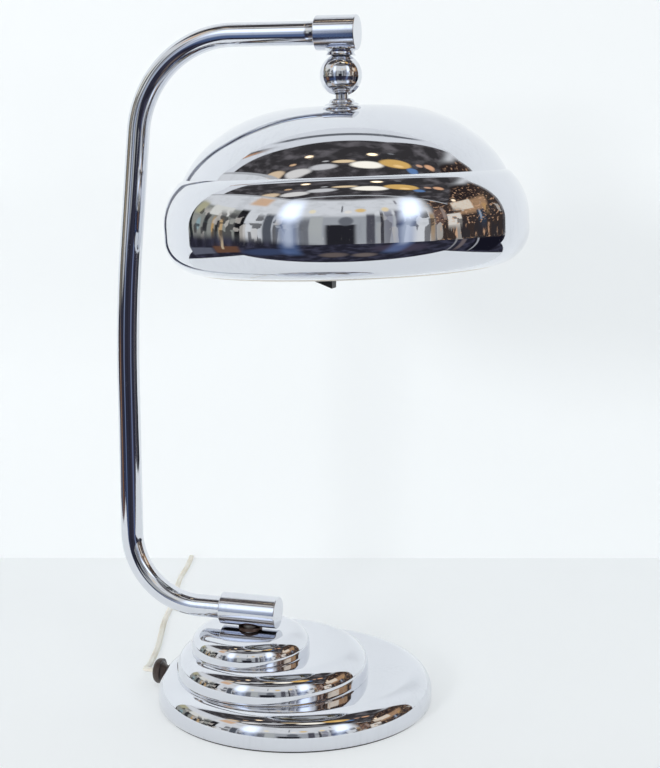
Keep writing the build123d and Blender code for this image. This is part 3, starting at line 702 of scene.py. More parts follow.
@dataclass
class SteppedBase:
    """The chrome base of three round steps, its bushing and what it hides."""

    radii: tuple[float, ...] = (88.0, 61.0, 37.3)
    tops: tuple[float, ...] = (21.0, 39.0, 53.0)
    feet: tuple[float, ...] = (1.5, 20.2, 38.2)
    shoulders: tuple[float, ...] = (14.0, 13.5, 11.0)
    shifts: tuple[float, ...] = (0.0, 16.3, 32.0)
    shift_direction: float = 226.0
    wall: float = 1.2
    bushing_direction: float = 182.0
    bushing_height: float = 9.0
    lead_hole: float = 1.9
    collar_radius: float = 4.0
    collar_depth: float = 3.0
    cone_radius: float = 6.4
    cone_length: float = 3.0
    disc_radius: float = 8.2
    disc_edge: float = 0.3
    disc_side: float = 5.0
    disc_end: float = 8.0
    face_radius: float = 3.6

    def centre(self, shift: float) -> Vector:
        """The point on the table under a step that is set off by shift."""
        turn = math.radians(self.shift_direction)
        return Vector((math.cos(turn), math.sin(turn), 0.0)) * shift

    def step(self, number: int) -> bmesh.types.BMesh:
        """Turns one step about its own axis.

        Args:
            number: Its number, 0 for the lowest.

        Returns:
            The step's outer skin.
        """
        radius, top, shoulder = self.radii[number], self.tops[number], self.shoulders[number]
        lathe = Lathe(0.0, top).line(radius - shoulder, top, 6).arc(radius, top - shoulder)
        lathe.line(radius, self.feet[number], 2)
        mesh = lathe.turn(seat(self.centre(self.shifts[number]), UP, ALONG_X), 192)
        bmesh.ops.remove_doubles(mesh, verts=mesh.verts, dist=MERGE)
        return mesh

    def bushing(self) -> bmesh.types.BMesh:
        """Turns the bushing: a cone, then a disc with a round face."""
        turn = math.radians(self.bushing_direction)
        axis = Vector((math.cos(turn), math.sin(turn), 0.0))
        place = seat(axis * self.radii[0] + UP * self.bushing_height, axis, UP)
        lathe = Lathe(self.lead_hole, -self.collar_depth)
        lathe.line(self.collar_radius, -self.collar_depth).line(self.collar_radius, 0.0)
        lathe.line(self.cone_radius, self.cone_length)
        lathe.line(self.disc_radius - self.disc_edge, self.cone_length)
        lathe.arc(self.disc_radius, self.cone_length + self.disc_edge, (1.0, 0.0))
        lathe.line(self.disc_radius, self.disc_side).arc(self.face_radius, self.disc_end)
        lathe.line(self.lead_hole, self.disc_end).line(self.lead_hole, -self.collar_depth)
        return lathe.turn(place, 64)

    def build(self) -> None:
        """Builds and dresses the base."""
        steps = join(self.step(number) for number in range(len(self.radii)))
        Piece("base_steps", steps, MIRROR, "base", ("base_shell",), "chrome", self.wall).place()
        Piece(
            "bushing", self.bushing(), BROWN, "base", ("cord_bushing",), "bushing_plastic",
            sharp=40.0,
        ).place()
        dress(RUBBER, "foot_pad")
        dress(ENAMEL, "base_plate")
        dress(IRON, "base_weight")
        dress(STEEL, "base_plate_screws")
        # The washer's dark brown is painted shade for the gap under the lower barrel
        dress(SHADOW_GAP_WASHER_STEEL, "swivel_washer")
        dress(VINYL, "base_wire")


@dataclass
class BentArm:
    """The tube, the two barrels that hold it, and the swivel's fittings."""

    plane_y: float = -23.019
    tube_radius: float = 7.0
    tube_wall: float = 1.25
    start: Place = (-27.729, 64.0)
    corner_low: Place = (-101.7, 64.0)
    corner_lean: Place = (-101.7, 250.0)
    corner_high: Place = (-86.0, 417.0)
    end: Place = (30.8, 417.0)
    bends: tuple[float, float, float] = (45.0, 900.0, 62.0)
    barrel_radius: float = 10.0
    barrel_edge: float = 0.6
    lower_barrel: tuple[float, float, float] = (-40.729, 37.0, 13.0)
    upper_barrel: tuple[float, float, float] = (21.8, 24.6, 9.0)

    def tube(self) -> bmesh.types.BMesh:
        """Drives the tube's ring round the three bends.

        Returns:
            The tube's outer skin.
        """
        route = (self.start, self.corner_low, self.corner_lean, self.corner_high, self.end)
        corners = [Vector((x, self.plane_y, z)) for x, z in route]
        drive = RingDrive(self.tube_radius, corners[0], corners[1] - corners[0])
        spent = 0.0
        for before, corner, after, radius in zip(corners, corners[1:], corners[2:], self.bends):
            run_in, run_out = corner - before, after - corner
            turn = math.copysign(run_in.angle(run_out), run_in.x * run_out.z - run_in.z * run_out.x)
            reach = radius * math.tan(abs(turn) / 2.0)
            drive.run(run_in.length - spent - reach, 4).bend(radius, math.degrees(turn))
            spent = reach
        drive.run((corners[-1] - corners[-2]).length - spent, 4)
        return drive.mesh

    def barrel(
        self, left: float, length: float, socket: float, height: float
    ) -> bmesh.types.BMesh:
        """Turns a barrel.

        Args:
            left: Where its left end is.
            length: How long it is.
            socket: How deep the tube goes in.
            height: The height of its axis.

        Returns:
            The barrel.
        """
        place = seat(Vector((left, self.plane_y, height)), ALONG_X, ALONG_Y)
        radius, edge = self.barrel_radius, self.barrel_edge
        lathe = Lathe(0.0, length).line(radius - edge, length, 3).arc(radius, length - edge)
        lathe.line(radius, edge, 3).arc(radius - edge, 0.0).line(self.tube_radius, 0.0)
        return lathe.line(self.tube_radius, socket).line(0.0, socket).turn(place, 96)

    def build(self) -> None:
        """Builds and dresses the arm."""
        tube = self.tube()
        Piece("arm_pipe", tube, TUBE_CHROME, "arm", ("arm_tube",), "chrome", self.tube_wall).place()
        lower = self.barrel(*self.lower_barrel, self.start[1])
        Piece("lower_barrel", lower, BARREL_CHROME, "arm", ("lower_connector",), "chrome").place()
        upper = self.barrel(*self.upper_barrel, self.end[1])
        Piece("upper_barrel", upper, BARREL_CHROME, "arm", ("upper_connector",), "chrome").place()
        dress(STEEL, "swivel_pipe", "swivel_spring", "swivel_nut", "grub_screws", "joint_pipe")
        dress(VINYL, "arm_wire")


# The middle of the ball joint, and the way in which the shade leans on it
BALL = Vector((36.5, -23.019, 393.0))
LEAN = math.radians(2.2)
SHADE_UP = Vector((-math.sin(LEAN), 0.0, math.cos(LEAN)))
SHADE_RIGHT = Vector((math.cos(LEAN), 0.0, math.sin(LEAN)))
SHADE_SEAT = seat(BALL, SHADE_UP, SHADE_RIGHT)
HOUSING_SEAT = seat(BALL, UP, ALONG_X)


@dataclass
class BallJoint:
    """The waisted collar, the two half shells and the pivot ball with its neck."""

    radius: float = 12.3
    socket: float = 9.7
    bore: float = 4.95
    top: float = 11.0
    groove: float = 0.25
    half_groove: float = 0.2
    mouth: float = 5.07
    slot_half: float = 4.05
    slot_right: float = 58.5
    slot_left: float = 32.2
    pivot_radius: float = 9.65
    pivot_top: float = 5.0
    neck_radius: float = 4.0
    neck_bore: float = 2.4
    neck_end: float = 30.0
    collar_bore: float = 4.9
    collar_low: float = 11.05
    collar_high: float = 15.65
    foot_radius: float = 8.7
    foot_edge: float = 0.2
    waist_radius: float = 7.6
    waist_height: float = 13.0
    waist_slope: float = 0.75
    head_radius: float = 9.3
    head_low: float = 14.85
    head_edge: float = 0.25
    ring_low: float = -16.0
    ring_side: float = -15.2
    ring_high: float = -13.6
    ring_radius: float = 7.4
    ring_edge: float = 0.4
    ring_waist: float = 4.8
    flange_low: float = -18.8
    flange_side: float = -18.2
    flange_radius: float = 10.8
    flange_top_radius: float = 6.4

    def collar(self) -> bmesh.types.BMesh:
        """Turns the collar with its waist."""
        lathe = Lathe(self.collar_bore, self.collar_low)
        lathe.line(self.foot_radius - self.foot_edge, self.collar_low)
        lathe.arc(self.foot_radius, self.collar_low + self.foot_edge)
        lathe.arc(self.waist_radius, self.waist_height, (-self.waist_slope, 1.0))
        lathe.arc_into(self.head_radius, self.head_low, (self.waist_slope, 1.0))
        lathe.line(self.head_radius, self.collar_high - self.head_edge)
        lathe.arc(self.head_radius - self.head_edge, self.collar_high)
        lathe.line(self.collar_bore, self.collar_high).line(self.collar_bore, self.collar_low)
        return lathe.turn(HOUSING_SEAT, 64)

    def upper_half(self) -> bmesh.types.BMesh:
        """Turns the upper half shell, down to the groove at the seam."""
        edge = (self.radius**2 - self.top**2) ** 0.5
        rim = (self.radius**2 - self.half_groove**2) ** 0.5
        lathe = Lathe(self.bore, self.top).line(edge, self.top)
        lathe.arc(rim, self.half_groove, (self.top, -edge))
        lathe.line(self.radius - self.groove, self.half_groove).line(self.radius - self.groove, 0.0)
        lathe.line(self.socket, 0.0)
        lathe.arc(self.bore, (self.socket**2 - self.bore**2) ** 0.5, (0.0, 1.0))
        return lathe.line(self.bore, self.top).turn(HOUSING_SEAT, 96)

    def lower_half(self) -> bmesh.types.BMesh:
        """Turns the lower half shell and cuts the slot that the neck tilts in.

        Returns:
            The shell, with the slot's flat walls.
        """
        rim = (self.radius**2 - self.half_groove**2) ** 0.5
        inner = (self.socket**2 - self.neck_radius**2) ** 0.5
        lathe = Lathe(self.socket, 0.0).line(self.radius - self.groove, 0.0)
        lathe.line(self.radius - self.groove, -self.half_groove).line(rim, -self.half_groove)
        lathe.arc(self.mouth, -((self.radius**2 - self.mouth**2) ** 0.5), (0.0, -1.0))
        lathe.line(self.neck_radius, -inner)
        lathe.arc(self.socket, 0.0, (inner, self.neck_radius))
        mesh = lathe.turn(Matrix.Identity(4), 96)
        bmesh.ops.remove_doubles(mesh, verts=mesh.verts, dist=MERGE)
        side_cuts = [(side * self.slot_half * MM, side) for side in (ALONG_Y, -ALONG_Y)]
        ends = (math.radians(self.slot_right), -math.radians(self.slot_left))
        end_cuts = [(ORIGIN, Vector((math.cos(end), 0.0, math.sin(end)))) for end in ends]
        for point, normal in side_cuts + end_cuts:
            geom = mesh.verts[:] + mesh.edges[:] + mesh.faces[:]
            bmesh.ops.bisect_plane(mesh, geom=geom, dist=1e-7, plane_co=point, plane_no=normal)
        bmesh.ops.delete(mesh, geom=[f for f in mesh.faces if self.in_slot(f)], context="FACES")

        def on(corner: bmesh.types.BMVert, cut: tuple[Vector, Vector]) -> bool:
            """True for a corner on a cut's plane."""
            return abs((corner.co - cut[0]).dot(cut[1])) < MERGE

        for side in side_cuts:
            for end in end_cuts:
                pair = [v for v in mesh.verts if v.is_boundary and on(v, side) and on(v, end)]
                bmesh.ops.contextual_create(mesh, geom=pair)
        for cut in side_cuts + end_cuts:
            open_edges = [e for e in mesh.edges if len(e.link_faces) < 2]
            hem = [e for e in open_edges if all(on(v, cut) for v in e.verts)]
            bmesh.ops.contextual_create(mesh, geom=hem)
        bmesh.ops.transform(mesh, matrix=HOUSING_SEAT, verts=mesh.verts)
        return mesh

    def in_slot(self, face: bmesh.types.BMFace) -> bool:
        """True for a face of the lower half where the slot goes, before the half is in place."""
        middle = face.calc_center_median()
        swing = math.degrees(math.atan2(middle.x, -middle.z))
        return abs(middle.y) < self.slot_half * MM and -self.slot_left < swing < self.slot_right

    def pivot(self) -> bmesh.types.BMesh:
        """Turns the pivot ball with its neck."""
        ball = self.pivot_radius
        rim = (ball**2 - self.pivot_top**2) ** 0.5
        neck_start = -((ball**2 - self.neck_radius**2) ** 0.5)
        lathe = Lathe(self.neck_bore, self.pivot_top).line(rim, self.pivot_top)
        lathe.arc(self.neck_radius, neck_start, (self.pivot_top, -rim))
        lathe.line(self.neck_radius, -self.neck_end).line(self.neck_bore, -self.neck_end)
        return lathe.line(self.neck_bore, self.pivot_top).turn(SHADE_SEAT, 64)

    def ring(self) -> bmesh.types.BMesh:
        """Turns the ring on the neck."""
        lathe = Lathe(self.neck_radius, self.ring_low)
        lathe.line(self.ring_radius - self.ring_edge, self.ring_low)
        lathe.arc(self.ring_radius, self.ring_low + self.ring_edge)
        lathe.line(self.ring_radius, self.ring_side)
        lathe.arc(self.ring_waist, self.ring_high, (-0.25, 1.0))
        lathe.line(self.neck_radius, self.ring_high).line(self.neck_radius, self.ring_low)
        return lathe.turn(SHADE_SEAT, 64)

    def flange(self) -> bmesh.types.BMesh:
        """Turns the flange that sits on the shade."""
        lathe = Lathe(self.neck_radius, self.flange_low).line(self.flange_radius, self.flange_low)
        lathe.line(self.flange_radius, self.flange_side)
        lathe.arc(self.flange_top_radius, self.ring_low, (-0.3, 1.0))
        lathe.line(self.neck_radius, self.ring_low).line(self.neck_radius, self.flange_low)
        return lathe.turn(SHADE_SEAT, 64)

    def build(self) -> None:
        """Builds the joint."""
        for name, mesh, body, node, kind in (
            ("waisted_collar", self.collar(), "arm", "joint_collar", "chrome"),
            ("ball_upper", self.upper_half(), "ball_housing", "housing_upper", "chrome"),
            ("ball_lower", self.lower_half(), "ball_housing", "housing_lower", "chrome"),
            ("neck_ball", self.pivot(), "shade", "pivot_ball", "steel"),
            ("neck_collar", self.ring(), "shade", "neck_ring", "chrome"),
            ("top_flange", self.flange(), "shade", "shade_flange", "chrome"),
        ):
            Piece(name, mesh, JOINT_CHROME, body, (node,), kind).place()


@dataclass
class SpunShade:
    """The chrome shade, one spun shell with a step and a rolled edge."""

    wall: float = 1.0
    hole: float = 4.05
    seat_drop: float = 18.8
    seat_radius: float = 12.0
    dish_middle: Place = (15.0, 18.35)
    crown_start: float = 18.0
    crown_flat: float = 24.0
    crown_drop: float = 17.9
    crown_radius: float = 86.0
    crown_end: float = 79.0
    step_radius: float = 95.3
    step_drop: float = 58.2
    ledge_in: float = 0.9
    ledge_rise: float = 1.2
    ledge_out: float = 1.7
    ledge_fall: float = 0.4
    belly_radius: float = 107.0
    belly_top: float = 84.0
    belly_bottom: float = 91.0
    lip_bend: float = 20.0
    bead: float = 1.2

    def shell(self) -> bmesh.types.BMesh:
        """Turns the shell's outer skin."""
        slope = math.asin((self.crown_end - self.crown_flat) / self.crown_radius)
        crown_end_drop = self.crown_drop + self.crown_radius * (1.0 - math.cos(slope))
        lathe = Lathe(self.hole, -self.seat_drop).line(self.seat_radius, -self.seat_drop)
        lathe.arc(self.dish_middle[0], -self.dish_middle[1])
        lathe.arc(self.crown_start, -self.crown_drop).line(self.crown_flat, -self.crown_drop)
        lathe.arc(self.crown_end, -crown_end_drop, (1.0, 0.0))
        lathe.arc(self.step_radius - self.ledge_in, -self.step_drop + self.ledge_rise)
        lathe.line(self.step_radius + self.ledge_out, -self.step_drop - self.ledge_fall)
        lathe.arc_into(self.belly_radius, -self.belly_top, (0.0, -1.0))
        lathe.line(self.belly_radius, -self.belly_bottom, 2)
        lathe.arc(self.belly_radius - self.lip_bend, -self.belly_bottom - self.lip_bend)
        return lathe.turn(SHADE_SEAT, 256)

    def edge(self) -> bmesh.types.BMesh:
        """Turns the rolled edge."""
        radius = self.belly_radius - self.lip_bend
        drop = self.belly_bottom + self.lip_bend - self.wall / 2.0
        lathe = Lathe(radius + self.bead, -drop).arc(radius - self.bead, -drop, (0.0, 1.0))
        return lathe.arc(radius + self.bead, -drop, (0.0, -1.0)).turn(SHADE_SEAT, 256)

    def build(self) -> None:
        """Builds and dresses the shade."""
        shell = self.shell()
        Piece("spun_shade", shell, MIRROR, "shade", ("shade",), "chrome", self.wall, 20.0).place()
        Piece("rolled_edge", self.edge(), EDGE_CHROME, "shade", ("shade",), "chrome").place()
        dress(STEEL, "shade_washer", "shade_nut")


@dataclass
class LampCluster:
    """The stem, the two lampholders with their bulbs, the switch cup and the rocker switch."""

    stem_bore: float = 4.0
    stem_radius: float = 6.0
    stem_top: float = 24.8
    stem_end: float = 74.0
    axis_drop: float = 85.0
    boss: float = 16.0
    holder_radius: float = 12.0
    holder_length: float = 28.0
    foot_edge: float = 0.6
    groove_low: float = 5.0
    groove_high: float = 7.0
    groove_slope: float = 0.4
    groove_depth: float = 0.8
    mouth_start: float = 3.0
    mouth_corner: Place = (1.2, 0.6)
    mouth_in: float = 2.4
    socket_radius: float = 7.2
    socket_depth: float = 20.0
    globe_neck: float = 8.0
    globe_neck_length: float = 2.0
    globe_radius: float = 20.0
    globe_wall: float = 0.8
    cup_radius: float = 42.0
    cup_top: float = 98.0
    cup_depth: float = 15.8
    cup_edge: float = 3.0
    cup_hole: float = 4.0
    cup_wall: float = 1.0

    def stem(self) -> bmesh.types.BMesh:
        """Turns the stem."""
        lathe = Lathe(self.stem_bore, -self.stem_top).line(self.stem_radius, -self.stem_top)
        lathe.line(self.stem_radius, -self.stem_end).line(self.stem_bore, -self.stem_end)
        return lathe.line(self.stem_bore, -self.stem_top).turn(SHADE_SEAT, 48)

    def both(self, profile: Callable[[], Lathe]) -> bmesh.types.BMesh:
        """Turns a profile on each side of the boss, its foot there and its height outwards.

        Args:
            profile: What draws it.

        Returns:
            One mesh of the two.
        """
        middle = BALL - SHADE_UP * self.axis_drop
        places = [seat(middle + way * self.boss, way, ALONG_Y) for way in (-SHADE_RIGHT, SHADE_RIGHT)]
        return join(profile().turn(place, 64) for place in places)

    def holder(self) -> Lathe:
        """Draws a lampholder: a barrel with a foot ring, a groove and an open mouth."""
        radius, length = self.holder_radius, self.holder_length
        waist, corner = radius - self.groove_depth, self.mouth_corner
        lathe = Lathe(0.0, 0.0).line(radius - self.foot_edge, 0.0).arc(radius, self.foot_edge)
        lathe.line(radius, self.groove_low).line(waist, self.groove_low + self.groove_slope)
        lathe.line(waist, self.groove_high - self.groove_slope).line(radius, self.groove_high)
        lathe.line(radius, length - self.mouth_start, 2)
        lathe.arc(radius - corner[0], length - corner[1], (0.0, 1.0))
        lathe.arc(radius - self.mouth_in, length).line(self.socket_radius, length)
        lathe.line(self.socket_radius, length - self.socket_depth)
        return lathe.line(0.0, length - self.socket_depth)

    def globe(self) -> Lathe:
        """Draws a bulb's glass from its neck to the end of its globe."""
        neck, neck_end = self.globe_neck, self.holder_length + self.globe_neck_length
        climb = (self.globe_radius**2 - neck**2) ** 0.5
        lathe = Lathe(neck, self.holder_length).line(neck, neck_end)
        lathe.arc(self.globe_radius, neck_end + climb, (climb, neck))
        return lathe.arc(0.0, neck_end + climb + self.globe_radius)

    def cup(self) -> bmesh.types.BMesh:
        """Turns the switch cup's outer skin."""
        lathe = Lathe(self.cup_hole, -self.cup_top)
        lathe.line(self.cup_radius - self.cup_edge, -self.cup_top, 3)
        lathe.arc(self.cup_radius, -self.cup_top - self.cup_edge, (1.0, 0.0))
        lathe.line(self.cup_radius, -self.cup_top - self.cup_depth, 2)
        return lathe.turn(SHADE_SEAT, 128)

    def build(self) -> None:
        """Builds and dresses the cluster and the switch."""
        Piece("stem", self.stem(), STEEL, "shade", ("cluster_stem",), "steel").place()
        Piece(
            "holders", self.both(self.holder), IVORY, "shade", ("lampholders",), "holder_plastic",
            sharp=25.0,
        ).place()
        Piece(
            "globes", self.both(self.globe), GLASS, "shade", ("bulbs",), "bulb_glass",
            self.globe_wall, 50.0,
        ).place()
        cup = self.cup()
        Piece("cup", cup, SATIN, "shade", ("switch_cup",), "cup_steel", self.cup_wall).place()
        dress(BRASS, "cluster_body", "bulb_caps", "switch_terminals")
        dress(SATIN, "switch_cover")
        dress(STEEL, "switch_cover_screws")
        dress(BLACK, "switch_body", "switch_rocker")
        dress(VINYL, "neck_wire")


@dataclass
class Lead:
    """The flat twin lead, on one smooth line from the bushing to its plug."""

    diameter: float = 4.4
    lobe: float = 1.3
    rest_height: float = 1.35
    layer: float = 3.0
    length: float = 1716.0
    route: tuple[tuple[float, float, float], ...] = (
        (-95.941, -3.350, 9.0), (-102.537, -3.581, 9.0), (-106.8, 4.4, 6.4), (-109.6, 16.8, 3.2),
        (-114.2, 34.0, 1.5), (-119.6, 56.0, 1.35), (-128.4, 83.0, 1.35), (-138.0, 112.0, 1.35),
        (-145.6, 146.0, 1.35), (-156.8, 182.0, 1.35), (-166.4, 214.0, 1.35), (-171.6, 243.0, 1.35),
        (-178.6, 270.0, 1.35), (-186.0, 297.0, 1.35),
    )
    coil_start: Place = (-186.0, 331.0)
    coil_outer: float = 36.0
    pitch: float = 4.9
    half_turns_in: int = 8
    half_turns_out: int = 7
    points_per_half: int = 7
    tail_run: float = 14.0
    tail_turn: float = 18.0
    tail_rises: tuple[float, float, float] = (0.9, 0.9, 0.95)
    lobe_points: int = 9
    lobe_reach: float = 112.0

    def coil(self) -> tuple[list[Vector], Vector]:
        """The coil's control points: half turns that draw in, climb once and draw out again.

        Returns:
            The points, from the coil's first to its last, and the point where its tail starts.
        """
        radii = [(self.coil_outer - self.pitch / 2.0 * n, 0.0) for n in range(self.half_turns_in)]
        inner = self.coil_outer - self.pitch / 2.0 * self.half_turns_in
        radii.append((inner, self.layer))
        radii += [(inner + self.pitch / 2.0 * n, 0.0) for n in range(1, self.half_turns_out + 1)]
        points = []
        x, y, z, side = self.coil_start[0], self.coil_start[1], self.rest_height, 1
        swing = math.pi / self.points_per_half
        for radius, climb in radii:
            reach = radius / math.cos(swing / 2.0)
            for number in range(self.points_per_half):
                angle = swing * (number + 0.5)
                across = radius - reach * math.cos(angle)
                share = (number + 0.5) / self.points_per_half
                along = side * reach * math.sin(angle)
                points.append(Vector((x + side * across, y + along, z + climb * share)))
            x, z, side = x + side * 2.0 * radius, z + climb, -side
        return points, Vector((x, y + self.diameter, z))

    def tail(self, start: Vector) -> list[Vector]:
        """The last points, from the coil to the plug's back.

        Args:
            start: The first of them.

        Returns:
            The points.
        """
        points = [start]
        for number, rise in enumerate(self.tail_rises):
            angle = math.radians(90.0 + self.tail_turn * number)
            way = Vector((math.cos(angle), math.sin(angle), 0.0))
            points.append(points[-1] + way * self.tail_run)
            points[-1].z += rise
        return points

    def section(self) -> bpy.types.Object:
        """Draws the twin lead's section: two lobes with a waist between them.

        Returns:
            The closed curve, which isn't rendered.
        """
        data = bpy.data.curves.new("lead_section", "CURVE")
        data.dimensions = "2D"
        spline = data.splines.new("NURBS")
        outline = []
        offset = self.diameter / 2.0 - self.lobe
        step = 2.0 * self.lobe_reach / (self.lobe_points - 1)
        for side in (1, -1):
            for number in range(self.lobe_points):
                angle = math.radians(step * number - self.lobe_reach)
                angle += 0.0 if side > 0 else math.pi
                across = side * offset + self.lobe * math.cos(angle)
                outline.append((across, self.lobe * math.sin(angle)))
        spline.points.add(len(outline) - 1)
        for point, (x, y) in zip(spline.points, outline):
            point.co = (x * MM, y * MM, 0.0, 1.0)
        spline.use_cyclic_u = True
        spline.order_u = 3
        spline.resolution_u = 2
        made = bpy.data.objects.new("lead_section", data)
        bpy.context.scene.collection.objects.link(made)
        made.hide_render = True
        made.hide_viewport = True
        return made

    def build(self) -> None:
        """Lays the lead and dresses the plug."""
        coil, coil_end = self.coil()
        line = [Vector(point) for point in self.route] + coil + self.tail(coil_end)
        data = bpy.data.curves.new("twin_lead", "CURVE")
        data.dimensions = "3D"
        data.twist_mode = "Z_UP"
        data.bevel_mode = "OBJECT"
        data.bevel_object = self.section()
        data.use_fill_caps = True
        spline = data.splines.new("NURBS")
        spline.points.add(len(line) - 1)
        for point, place in zip(spline.points, line):
            point.co = (*(place * MM), 1.0)
        spline.order_u = 3
        spline.use_endpoint_u = True
        spline.resolution_u = 6
        data.materials.append(VINYL)
        lead = bpy.data.objects.new("twin_lead", data)
        bpy.context.scene.collection.objects.link(lead)
        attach(lead, "base")
        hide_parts("cord", "cord_coil", "cord_tail")
        line[0] * MM
        dress(CREAM, "plug_body")
        dress(BRASS, "plug_blades")
        LOG.info("twin_lead: %d control points", len(line))


# The place it is seen in


@dataclass
class Corner:
    """The pale table and the wall behind the lamp, which aren't part of the lamp."""

    table_colour: Colour = (0.90, 0.935, 0.955)
    wall_colour: Colour = (0.92, 0.955, 0.975)
    glow: float = 0.55
    cloud_scale: float = 1.6
    cloud_shade: float = 0.975
    wall_point: Vector = field(default_factory=lambda: Vector((-0.063, 0.305, 0.0)))
    wall_half_width: float = 1.0
    wall_height: float = 1.2
    table_half: float = 6.0
    table_front: float = 0.30
    table_side: float = 0.53

    def plane(
        self, name: str, half_sizes: Place, place: Matrix, material: bpy.types.Material
    ) -> None:
        """Lays one flat sheet of the stage.

        Args:
            name: Its name.
            half_sizes: Half its width and half its depth, in metres.
            place: Where its middle goes.
            material: Its finish.
        """
        mesh = bmesh.new()
        bmesh.ops.create_grid(mesh, x_segments=1, y_segments=1, size=1.0)
        bmesh.ops.scale(mesh, vec=(*half_sizes, 1.0), verts=mesh.verts)
        bmesh.ops.transform(mesh, matrix=place, verts=mesh.verts)
        data = bpy.data.meshes.new(name)
        mesh.to_mesh(data)
        mesh.free()
        data.materials.append(material)
        made = bpy.data.objects.new(name, data)
        bpy.context.scene.collection.objects.link(made)
        LOG.info("%s: stage", name)

    def past_edges(self, graph: Graph) -> Reading:
        """Where the table ends for the lamp's mirrors, which see the room past its edges.

        Args:
            graph: The table's graph.

        Returns:
            1 past the front edge and the side edges, and 0 on the table.
        """
        spot = graph.place()
        front = graph.along(spot, -VIEW_AWAY).rise(self.table_front, self.table_front + 0.01)
        side = graph.along(spot, VIEW_RIGHT).size().rise(self.table_side, self.table_side + 0.02)
        return graph.maths("MAXIMUM", front, side)

    def paint(self, name: str, colour: Colour, upright: bool) -> bpy.types.Material:
        """The pale paint of the table or the wall, neither of which can be seen from behind.

        A share of it glows towards the camera and the mirrors, so that no shadow lies on that.

        Args:
            name: Its name.
            colour: Its colour.
            upright: True for the wall and False for the table, which ends for mirrors.

        Returns:
            The material.
        """
        material, graph = new_graph(name)
        path = graph.node("ShaderNodeLightPath")
        camera = Reading(graph, path.outputs["Is Camera Ray"])
        glossy = Reading(graph, path.outputs["Is Glossy Ray"])
        cloud = graph.noise(self.cloud_scale, 3.0).rise(0.35, 0.65)
        tint = graph.mix(cloud * 0.5, colour, tuple(c * self.cloud_shade for c in colour))
        lit = graph.node("ShaderNodeBsdfDiffuse", {}, {"Color": tint}).outputs[0]
        shine = graph.node("ShaderNodeEmission", {}, {"Color": tint, "Strength": 1.0}).outputs[0]
        share = graph.maths("MAXIMUM", camera, glossy) * self.glow
        both = graph.node("ShaderNodeMixShader", {}, {0: share, 1: lit, 2: shine}).outputs[0]
        hidden = Reading(graph, graph.node("ShaderNodeNewGeometry").outputs["Backfacing"])
        if not upright:
            hidden = graph.maths("MAXIMUM", hidden, self.past_edges(graph) * glossy)
        clear = graph.node("ShaderNodeBsdfTransparent").outputs[0]
        shader = graph.node("ShaderNodeMixShader", {}, {0: hidden, 1: both, 2: clear})
        graph.surface(shader.outputs[0])
        return material

    def build(self) -> None:
        """Lays the table and stands the wall."""
        table = self.paint("table_paint", self.table_colour, False)
        self.plane("table", (self.table_half, self.table_half), Matrix.Identity(4), table)
        wall = self.paint("wall_paint", self.wall_colour, True)
        turn = Matrix((VIEW_RIGHT, UP, -VIEW_AWAY)).transposed().to_4x4()
        stand = Matrix.Translation(self.wall_point + UP * (self.wall_height / 2.0)) @ turn
        self.plane("wall", (self.wall_half_width, self.wall_height / 2.0), stand, wall)


class Outline(Enum):
    """The outline of a thing in the room."""

    ROUND = "round"
    SQUARE = "square"


ROUND = Outline.ROUND


@dataclass(frozen=True)
class Thing:
    """One thing in the room: where it is, half its width and height, its colour and its outline."""

    name: str
    across: float
    up: float
    half_width: float
    half_height: float
    colour: Colour
    outline: Outline = Outline.SQUARE
    soft: float = 0.15
    lean: float = 0.0

    def cover(self, across: Reading, up: Reading) -> Reading:
        """How much of the ray it covers.

        Args:
            across: The ray's place from left to right.
            up: The ray's place upwards.

        Returns:
            1 on the thing and 0 off it.
        """
        above = up - self.up
        wide = (across - self.across - above * self.lean) / self.half_width
        high = above / self.half_height
        if self.outline is Outline.ROUND:
            return (wide * wide + high * high).rise(1.0 + 2.0 * self.soft, 1.0 - 2.0 * self.soft)
        outer, inner = 1.0 + self.soft, 1.0 - self.soft
        return wide.size().rise(outer, inner) * high.size().rise(outer, inner)


